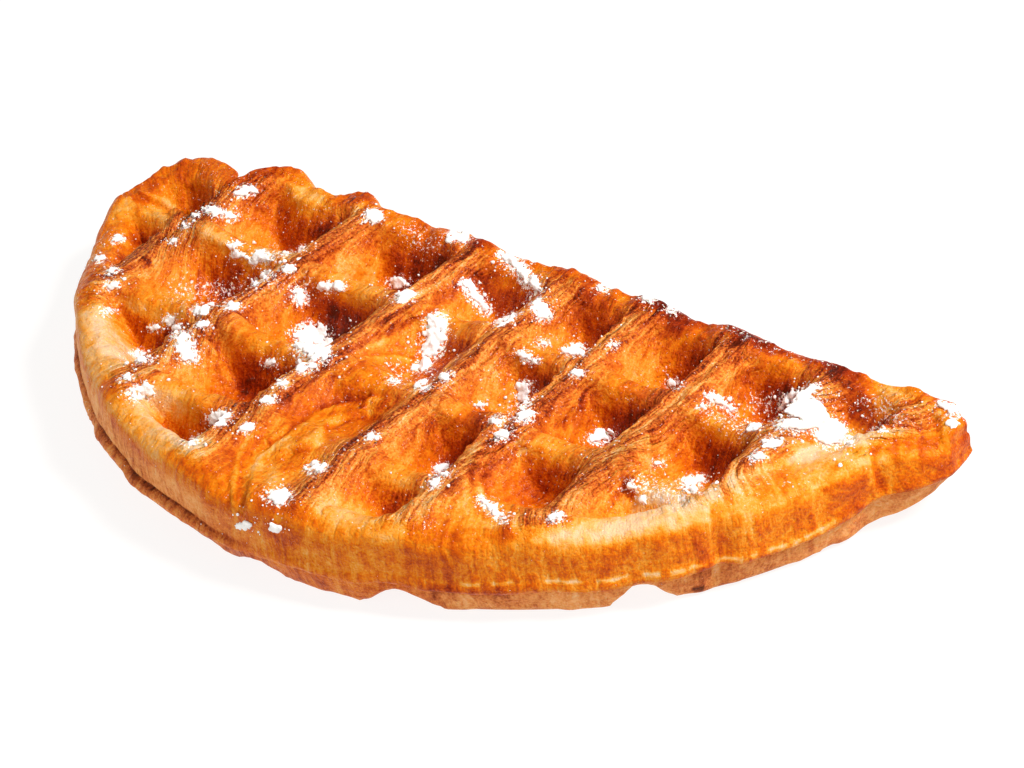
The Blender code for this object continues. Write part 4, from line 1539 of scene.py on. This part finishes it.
    def carry(self, mesh: bpy.types.Mesh, name: str, values: np.ndarray) -> None:
        """Put a value, or a vector, on each point of the mesh for the material to read.

        Args:
            mesh: the pastry's mesh.
            name: the value's name.
            values: one value, or one row of three, for each point.
        """
        kind, key = ("FLOAT_VECTOR", "vector") if values.ndim == 2 else ("FLOAT", "value")
        attribute = mesh.attributes.new(name, kind, "POINT")
        attribute.data.foreach_set(key, values.astype(np.float32).ravel())

    def lighten_underside(self, slab: bpy.types.Object, seen: Survey) -> None:
        """Leave fewer faces on the underside, which has no fine relief.

        Args:
            slab: the pastry.
            seen: what is known of each point.
        """
        select_none()
        bpy.context.view_layer.objects.active = slab
        slab.select_set(True)
        inner = (seen.down > UNDERSIDE) & (seen.rim > 0.03)
        bpy.ops.object.mode_set(mode="EDIT")
        bpy.ops.mesh.select_all(action="DESELECT")
        shape = bmesh.from_edit_mesh(slab.data)
        shape.select_mode = {"VERT"}
        for vert, chosen in zip(shape.verts, inner):
            vert.select_set(bool(chosen))
        shape.select_flush_mode()
        bmesh.update_edit_mesh(slab.data)
        bpy.ops.mesh.decimate(ratio=self.underside_share)
        bpy.ops.object.mode_set(mode="OBJECT")

    def build(self) -> bpy.types.Object:
        """The finished pastry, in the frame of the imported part.

        Returns:
            The object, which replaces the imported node.
        """
        slab = self.blank()
        mesh = slab.data
        seen = self.survey(mesh_points(mesh))
        points = self.shaped(seen) * self.iron.pitch
        self.middle = (points.max(axis=0) + points.min(axis=0)) / 2.0
        self.middle[2] = points[:, 2].min()
        points = points - self.middle
        set_mesh_points(mesh, points)
        grain = self.grain(seen, points)
        raised = points + mesh_normals(mesh) * self.relief(seen, points, grain)[:, None]
        top_limit = CAD_BOX[1].z + self.headroom
        raised[:, 2] = top_limit - soft_positive(top_limit - raised[:, 2], self.top_softness)
        raised[:, 2] = np.maximum(raised[:, 2], 0.0)
        flat = seen.down > UNDERSIDE
        raised[flat & (points[:, 2] < 0.0001), 2] = 0.0
        set_mesh_points(mesh, raised)

        crest = 1.0 - 0.6 * seen.sunk
        on_top = 0.26 + 0.74 * crest * seen.cross_crest * ramp(seen.rim, 0.0, 0.16)
        on_top = on_top + 0.20 * seen.far_wall - 0.12 * seen.left_wall
        on_wall = 0.44 - 0.12 * ramp(seen.down, 0.20, 0.05)
        baked = self.bake_and_shading(seen, points, grain)
        ply = on_wall + (on_top - on_wall) * seen.top
        # This bake value carries painted shade and painted light as well as the bake.
        self.carry(mesh, "bake_and_shading", baked)
        self.carry(mesh, "ply", np.clip(ply, 0.0, 1.0))
        self.carry(mesh, "strand", self.strands(grain))
        self.carry(mesh, "matte", self.matte(seen))
        turned = ramp(mesh_normals(mesh) @ np.array(self.towards), 0.05, 0.35)
        self.carry(mesh, "dust", seen.top * turned * self.dusting(points))
        self.carry(mesh, "grain", grain)
        self.lighten_underside(slab, seen)
        slab.data.materials.clear()
        slab.data.materials.append(self.finish.make())
        select_none()
        slab.select_set(True)
        bpy.context.view_layer.objects.active = slab
        bpy.ops.object.shade_smooth()
        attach(slab, BODY)
        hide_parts(PASTRY_NODE)
        return slab


class Heap(Enum):
    """How thickly sugar lies: grains for each square millimetre, their radius in mm, and layers."""

    PATCH = (12.0, 0.24, 2)
    DRIFT = (16.0, 0.27, 4)


@dataclass(frozen=True)
class Spill(Streak):
    """A place where sugar lies."""

    kind: Heap


def spots(kind: Heap, *places: tuple[float, float, float]) -> tuple[Spill, ...]:
    """Round spills, each given by its place and radius."""
    return tuple(Spill((x, y), (x, y), radius, kind) for x, y, radius in places)


def lines(kind: Heap, *places: tuple[float, float, float, float, float]) -> tuple[Spill, ...]:
    """Long spills, each given by its ends and half width."""
    return tuple(Spill((x0, y0), (x1, y1), width, kind) for x0, y0, x1, y1, width in places)


@dataclass
class IcingSugar:
    """The dusting: clumps and drifts that hold together, and loose grains round them.

    Reaches are in half widths of a spill, and the radii of crumbs and loose grains in millimetres.
    """

    iron: IronGrid
    finish: SugarFinish
    seed: int = 11
    voxel: float = 0.00019
    headroom: float = 0.00036
    island: float = 0.055
    lumps: Lumps = field(default_factory=lambda: Lumps(21))
    crumbs: int = 480
    loose_near_spills: int = 1700
    loose_anywhere: int = 500
    patch_reach: float = 1.5
    crumb_reach: float = 2.8
    loose_reach: float = 3.0
    clump_spread: float = 0.30
    crumb_radius: float = 0.19
    loose_radius: float = 0.08
    stray_radius: float = 0.075
    spills: tuple[Spill, ...] = (
        *spots(Heap.PATCH, (0.72, 2.77, 0.10), (0.55, 2.27, 0.04), (0.57, 2.11, 0.04), (0.62, 1.87, 0.04),
               (0.15, 1.66, 0.05), (0.20, 1.36, 0.05), (0.42, 1.28, 0.05), (0.57, 1.10, 0.06),
               (1.15, 2.08, 0.06), (1.25, 1.97, 0.06), (1.50, 2.03, 0.12), (1.70, 2.30, 0.05),
               (1.62, 2.18, 0.05), (1.80, 2.00, 0.06), (1.68, 1.85, 0.06), (1.65, 1.70, 0.04),
               (1.72, 1.33, 0.07), (1.50, 1.20, 0.10), (1.65, 1.02, 0.05), (0.77, 0.79, 0.05),
               (1.27, 0.78, 0.05), (1.55, 0.12, 0.06), (1.78, 0.02, 0.12), (2.25, 1.95, 0.07),
               (2.80, 0.95, 0.08), (2.50, 0.85, 0.06), (2.78, 0.68, 0.06), (2.83, 0.45, 0.06),
               (2.60, 0.05, 0.11), (2.90, 0.05, 0.06), (2.60, -0.30, 0.06), (1.98, 2.98, 0.10),
               (2.85, 3.10, 0.13), (2.75, 2.30, 0.09), (2.95, 2.15, 0.09), (2.35, 2.00, 0.06)),
        *spots(Heap.PATCH, (3.70, 1.40, 0.08), (3.85, 1.20, 0.06), (3.95, 1.40, 0.06), (3.60, 1.15, 0.05),
               (4.40, 2.15, 0.05), (4.70, 2.20, 0.10), (4.90, 1.95, 0.06), (4.85, 1.27, 0.09),
               (4.45, 1.20, 0.04), (4.70, 1.10, 0.05), (4.85, 0.97, 0.06), (4.68, 0.35, 0.08),
               (4.72, 0.20, 0.05), (3.90, 0.45, 0.05), (5.60, 1.30, 0.11), (5.85, 0.30, 0.06),
               (5.70, 2.20, 0.05), (4.95, 2.40, 0.04), (3.75, -0.10, 0.08), (3.70, -0.55, 0.11),
               (3.70, -1.00, 0.08), (3.92, -0.90, 0.07), (4.40, 3.05, 0.07), (4.85, 3.10, 0.09),
               (5.10, 3.05, 0.07), (6.60, 2.00, 0.06), (6.85, 1.90, 0.08), (6.85, 1.70, 0.06),
               (6.10, 2.05, 0.04), (6.60, 1.15, 0.11), (6.65, 1.25, 0.05), (6.20, 1.25, 0.04),
               (6.20, 0.90, 0.05), (6.35, 0.80, 0.04), (7.85, 2.95, 0.09), (8.00, 2.80, 0.07),
               (7.55, 2.45, 0.04)),
        *lines(Heap.PATCH, (0.58, 2.40, 0.86, 2.40, 0.05), (1.30, 0.95, 1.50, 0.85, 0.04),
               (1.60, 0.80, 1.85, 0.58, 0.08), (1.35, 0.40, 1.55, 0.40, 0.05),
               (2.05, 1.80, 2.20, 1.65, 0.05), (3.35, 3.05, 3.90, 2.75, 0.06),
               (3.30, 2.55, 3.70, 2.30, 0.045), (4.00, 2.60, 4.20, 2.45, 0.06),
               (3.95, 2.35, 3.90, 2.20, 0.05), (4.30, 1.95, 4.50, 1.90, 0.03),
               (4.60, 1.60, 4.75, 1.40, 0.06), (5.20, 0.20, 5.50, 0.07, 0.035),
               (6.75, 2.70, 6.70, 2.50, 0.04), (6.05, 2.20, 6.35, 2.12, 0.03)),
        *lines(Heap.DRIFT, (2.50, 1.35, 2.78, 1.12, 0.15), (3.40, 2.00, 3.65, 1.60, 0.09),
               (6.72, 2.45, 7.05, 2.30, 0.13), (7.10, 2.30, 7.32, 2.18, 0.14),
               (6.80, 2.15, 7.00, 2.20, 0.08)),
    )

    def draw(self, chance: np.random.Generator, spill: Spill, spread: float) -> tuple[float, float, float]:
        """One random place on or near a spill, in the plan.

        Args:
            chance: where the draws come from.
            spill: the spill.
            spread: how far out places fall, in half widths.

        Returns:
            X, Y and how far out the place is, in half widths.
        """
        start = np.array(spill.start)
        centre = start + (np.array(spill.end) - start) * chance.uniform()
        angle = chance.uniform(0.0, 2.0 * math.pi)
        out = math.sqrt(chance.uniform()) * spread
        place = centre + spill.half_width * out * np.array((math.cos(angle), math.sin(angle)))
        return place[0], place[1], out

    def land(self, tree: BVHTree, x: float, y: float, ray: Vector, shift: np.ndarray) -> Ray | None:
        """Where a ray through a plan point at the top's level meets the pastry.

        Args:
            tree: the pastry's surface.
            x: places along the piece, in pitches.
            y: places across the piece, in pitches.
            ray: the way from the camera onto the pastry.
            shift: how far the plan's corner is from the middle of the piece, in metres.

        Returns:
            The place and the outward direction there, or nothing where the ray misses.
        """
        pitch = self.iron.pitch
        place = Vector((x * pitch - shift[0], y * pitch - shift[1], self.iron.thickness * pitch))
        hit, normal, _, _ = tree.ray_cast(place - ray * 0.05, ray, 0.2)
        return None if hit is None else (hit, normal)

    def grains(self, tree: BVHTree, towards: Vector, shift: np.ndarray) -> tuple[np.ndarray, np.ndarray]:
        """Places and radii of all grains: those of the clumps, then the loose ones.

        Args:
            tree: the pastry's surface.
            towards: the direction from the pastry to the camera.
            shift: how far the plan's corner is from the middle of the piece, in metres.

        Returns:
            One row of X, Y, Z and radius for each grain of the clumps, then for each loose one.
        """
        chance = np.random.default_rng(self.seed)
        ray = -towards.normalized()
        fall = Vector((0.0, 0.0, -1.0))
        top_limit = CAD_BOX[1].z + self.headroom
        clumped = []
        loose = []

        def rest(found: Ray | None, radius: float, lift: float, pile: list[Grain]) -> None:
            """Add a grain where a ray met the pastry, if there is room under the top limit.

            Args:
                found: where the ray met the pastry, and the outward direction there.
                radius: the grain's radius, in metres.
                lift: how far the grain lies over others, in metres.
                pile: the grains so far.
            """
            if found is None or found[1].z < -0.2:
                return
            hit, normal = found
            place = hit + normal * (0.25 * radius) + Vector((0.0, 0.0, lift))
            if place.z + radius > top_limit:
                place.z = top_limit - radius
            pile.append((*place, radius))

        for spill in self.spills:
            density, radius_mm, layers = spill.kind.value
            reach = self.patch_reach * spill.half_width
            length = math.dist(spill.start, spill.end)
            area = (math.pi * reach ** 2 + 2.0 * length * reach) * (self.iron.pitch / MILLIMETRE) ** 2
            tries = max(10, round(area * density))
            places = np.array([self.draw(chance, spill, self.patch_reach) for _ in range(tries)])
            islands = self.lumps.at(places * (1.0, 1.0, 0.0), self.island)
            uneven = islands + 0.2 * chance.uniform(-1.0, 1.0, tries)
            kept = 1.25 - places[:, 2] + 0.50 * uneven > 0.45
            for x, y, out in places[kept]:
                radius = MILLIMETRE * radius_mm * chance.lognormal(0.0, self.clump_spread)
                lift = chance.uniform() * max(0.0, 1.0 - out) * (layers - 1) * 0.5 * radius
                rest(self.land(tree, x, y, ray, shift), radius, lift, clumped)
        weights = np.array([spill.half_width + math.dist(spill.start, spill.end) for spill in self.spills])
        weights = weights / weights.sum()
        for pick in chance.choice(len(self.spills), size=self.crumbs, p=weights):
            x, y, _ = self.draw(chance, self.spills[pick], self.crumb_reach)
            radius = MILLIMETRE * self.crumb_radius * chance.lognormal(0.0, self.clump_spread)
            rest(self.land(tree, x, y, ray, shift), radius, 0.0, clumped)
        for pick in chance.choice(len(self.spills), size=self.loose_near_spills, p=weights):
            x, y, _ = self.draw(chance, self.spills[pick], self.loose_reach)
            radius = MILLIMETRE * self.loose_radius * chance.lognormal(0.0, 0.55)
            rest(self.land(tree, x, y, ray, shift), radius, 0.0, loose)
        low, high = CAD_BOX
        for _ in range(self.loose_anywhere):
            x = chance.uniform(low.x, high.x)
            y = chance.uniform(low.y, high.y)
            hit, normal, _, _ = tree.ray_cast(Vector((x, y, high.z + 0.01)), fall, 0.1)
            radius = MILLIMETRE * self.stray_radius * chance.lognormal(0.0, 0.35)
            rest(None if hit is None else (hit, normal), radius, 0.0, loose)
        return np.array(clumped), np.array(loose)

    def joined(self, name: str, rows: np.ndarray, subdivisions: int) -> bpy.types.Object:
        """One object of many small balls.

        Args:
            name: the object's name.
            rows: X, Y, Z and radius of each ball.
            subdivisions: how finely a ball is divided.

        Returns:
            The object, with all balls in one mesh.
        """
        select_none()
        bpy.ops.mesh.primitive_ico_sphere_add(subdivisions=subdivisions, radius=1.0)
        ball = bpy.context.active_object
        ball.name = name
        unit = mesh_points(ball.data)
        faces = np.array([tuple(face.vertices) for face in ball.data.polygons])
        chance = np.random.default_rng(self.seed + len(rows))
        wobble = 1.0 + 0.22 * chance.uniform(-1.0, 1.0, (len(rows), len(unit), 1))
        points = rows[:, None, :3] + unit[None] * rows[:, None, 3:4] * wobble
        indices = faces[None] + (np.arange(len(rows)) * len(unit))[:, None, None]
        ball.data.clear_geometry()
        ball.data.from_pydata(points.reshape(-1, 3).tolist(), [], indices.reshape(-1, 3).tolist())
        ball.data.update()
        return ball

    def finished(self, piece: bpy.types.Object, material: bpy.types.Material) -> None:
        """Give a piece of sugar its material and its body.

        Args:
            piece: the piece of sugar.
            material: its material.
        """
        piece.data.materials.clear()
        piece.data.materials.append(material)
        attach(piece, BODY)

    def build(self, pastry: bpy.types.Object, towards: Vector, shift: np.ndarray) -> list[bpy.types.Object]:
        """The clumps and the loose grains.

        Args:
            pastry: what the sugar lies on.
            towards: the direction from the pastry to the camera.
            shift: how far the plan's corner is from the middle of the piece, in metres.

        Returns:
            The two pieces.
        """
        points = mesh_points(pastry.data)
        polygons = [tuple(face.vertices) for face in pastry.data.polygons]
        tree = BVHTree.FromPolygons([tuple(point) for point in points], polygons)
        clumped, loose = self.grains(tree, towards, shift)
        clumps = self.joined("sugar_clumps", clumped, 1)
        melt = clumps.modifiers.new("Caked together", "REMESH")
        melt.mode = "VOXEL"
        melt.voxel_size = self.voxel
        bpy.ops.object.modifier_apply(modifier=melt.name)
        ease = clumps.modifiers.new("Rounded", "SMOOTH")
        ease.factor = 0.5
        ease.iterations = 3
        bpy.ops.object.modifier_apply(modifier=ease.name)
        bpy.ops.object.shade_smooth()
        grains = self.joined("sugar_grains", loose, 1)
        material = self.finish.make()
        for piece in (clumps, grains):
            self.finished(piece, material)
        return [clumps, grains]


@dataclass(frozen=True)
class Lamp:
    """A soft rectangular lamp, by its direction from the piece, distance, size and power in watts."""

    name: str
    direction: tuple[float, float, float]
    distance: float
    size: float
    power: float

    def place(self) -> bpy.types.Object:
        """The lamp, pointed at the piece.

        Returns:
            The lamp.
        """
        data = bpy.data.lights.new(self.name, "AREA")
        data.shape = "SQUARE"
        data.size = self.size
        data.energy = self.power
        lamp = bpy.data.objects.new(self.name, data)
        bpy.context.scene.collection.objects.link(lamp)
        away = Vector(self.direction).normalized()
        lamp.location = away * self.distance
        lamp.rotation_euler = away.to_track_quat("Z", "Y").to_euler()
        return lamp


@dataclass
class Studio:
    """A glowing pale floor, soft lamps, and the camera at the photograph's angle."""

    azimuth: float = math.radians(40.67)
    elevation: float = math.radians(36.29)
    roll: float = math.radians(7.89)
    distance: float = 0.72
    lens: float = 171.15
    aim: tuple[float, float, float] = (0.01267, 0.00422, 0.01602)
    floor_size: float = 3.0
    floor_tone: str = "6E6D6A"
    floor_glow: float = 0.87
    sky_tone: str = "FFF4E8"
    sky_strength: float = 0.43
    lamps: tuple[Lamp, ...] = (
        Lamp("key", (0.72, 0.22, 0.92), 1.0, 0.24, 13.2),
        Lamp("fill", (-0.25, -0.90, 0.55), 1.2, 0.80, 2.4),
    )

    def towards_camera(self) -> Vector:
        """The direction from the piece to the camera.

        Returns:
            A unit vector.
        """
        return Vector((
            math.sin(self.azimuth) * math.cos(self.elevation),
            -math.cos(self.azimuth) * math.cos(self.elevation),
            math.sin(self.elevation),
        ))

    def camera(self) -> None:
        """The camera."""
        back = self.towards_camera()
        right = Vector((math.cos(self.azimuth), math.sin(self.azimuth), 0.0))
        up = back.cross(right)
        turned_right = right * math.cos(self.roll) - up * math.sin(self.roll)
        turned_up = right * math.sin(self.roll) + up * math.cos(self.roll)
        data = bpy.data.cameras.new("camera")
        data.lens = self.lens
        camera = bpy.data.objects.new("camera", data)
        bpy.context.scene.collection.objects.link(camera)
        turn = Matrix((turned_right, turned_up, back)).transposed()
        camera.matrix_world = Matrix.Translation(Vector(self.aim) + back * self.distance) @ turn.to_4x4()
        bpy.context.scene.camera = camera

    def floor(self) -> None:
        """The floor that the piece lies on."""
        select_none()
        bpy.ops.mesh.primitive_plane_add(size=self.floor_size)
        floor = bpy.context.active_object
        floor.name = "floor"
        nodes = Nodes("pale_floor")
        nodes.shader.inputs["Base Color"].default_value = linear(self.floor_tone)
        nodes.shader.inputs["Roughness"].default_value = 0.9
        nodes.shader.inputs["Emission Color"].default_value = (1.0, 1.0, 1.0, 1.0)
        nodes.shader.inputs["Emission Strength"].default_value = self.floor_glow
        floor.data.materials.append(nodes.material)

    def sky(self) -> None:
        """Even light from all round."""
        world = bpy.data.worlds.new("white_sky")
        bpy.context.scene.world = world
        world.use_nodes = True
        background = world.node_tree.nodes["Background"]
        background.inputs["Color"].default_value = linear(self.sky_tone)
        background.inputs["Strength"].default_value = self.sky_strength

    def build(self) -> None:
        """The whole studio."""
        self.floor()
        self.sky()
        for lamp in self.lamps:
            lamp.place()
        self.camera()
        bpy.context.scene.view_settings.view_transform = "Standard"


def main() -> None:
    """Build the croffle, its sugar and the studio."""
    logging.basicConfig(level=logging.INFO, format="%(message)s")
    log = logging.getLogger("croffle")
    studio = Studio()
    studio.build()
    iron = IronGrid()
    sugar = IcingSugar(iron, SugarFinish())
    croffle = Croffle(HalfMoon(), iron, CrustFinish(), sugar.spills, studio.towards_camera())
    pastry = croffle.build()
    log.info("%s: %d faces", pastry.name, len(pastry.data.polygons))
    for piece in sugar.build(pastry, studio.towards_camera(), croffle.middle):
        log.info("%s: %d faces", piece.name, len(piece.data.polygons))


if __name__ == "__main__":
    main()
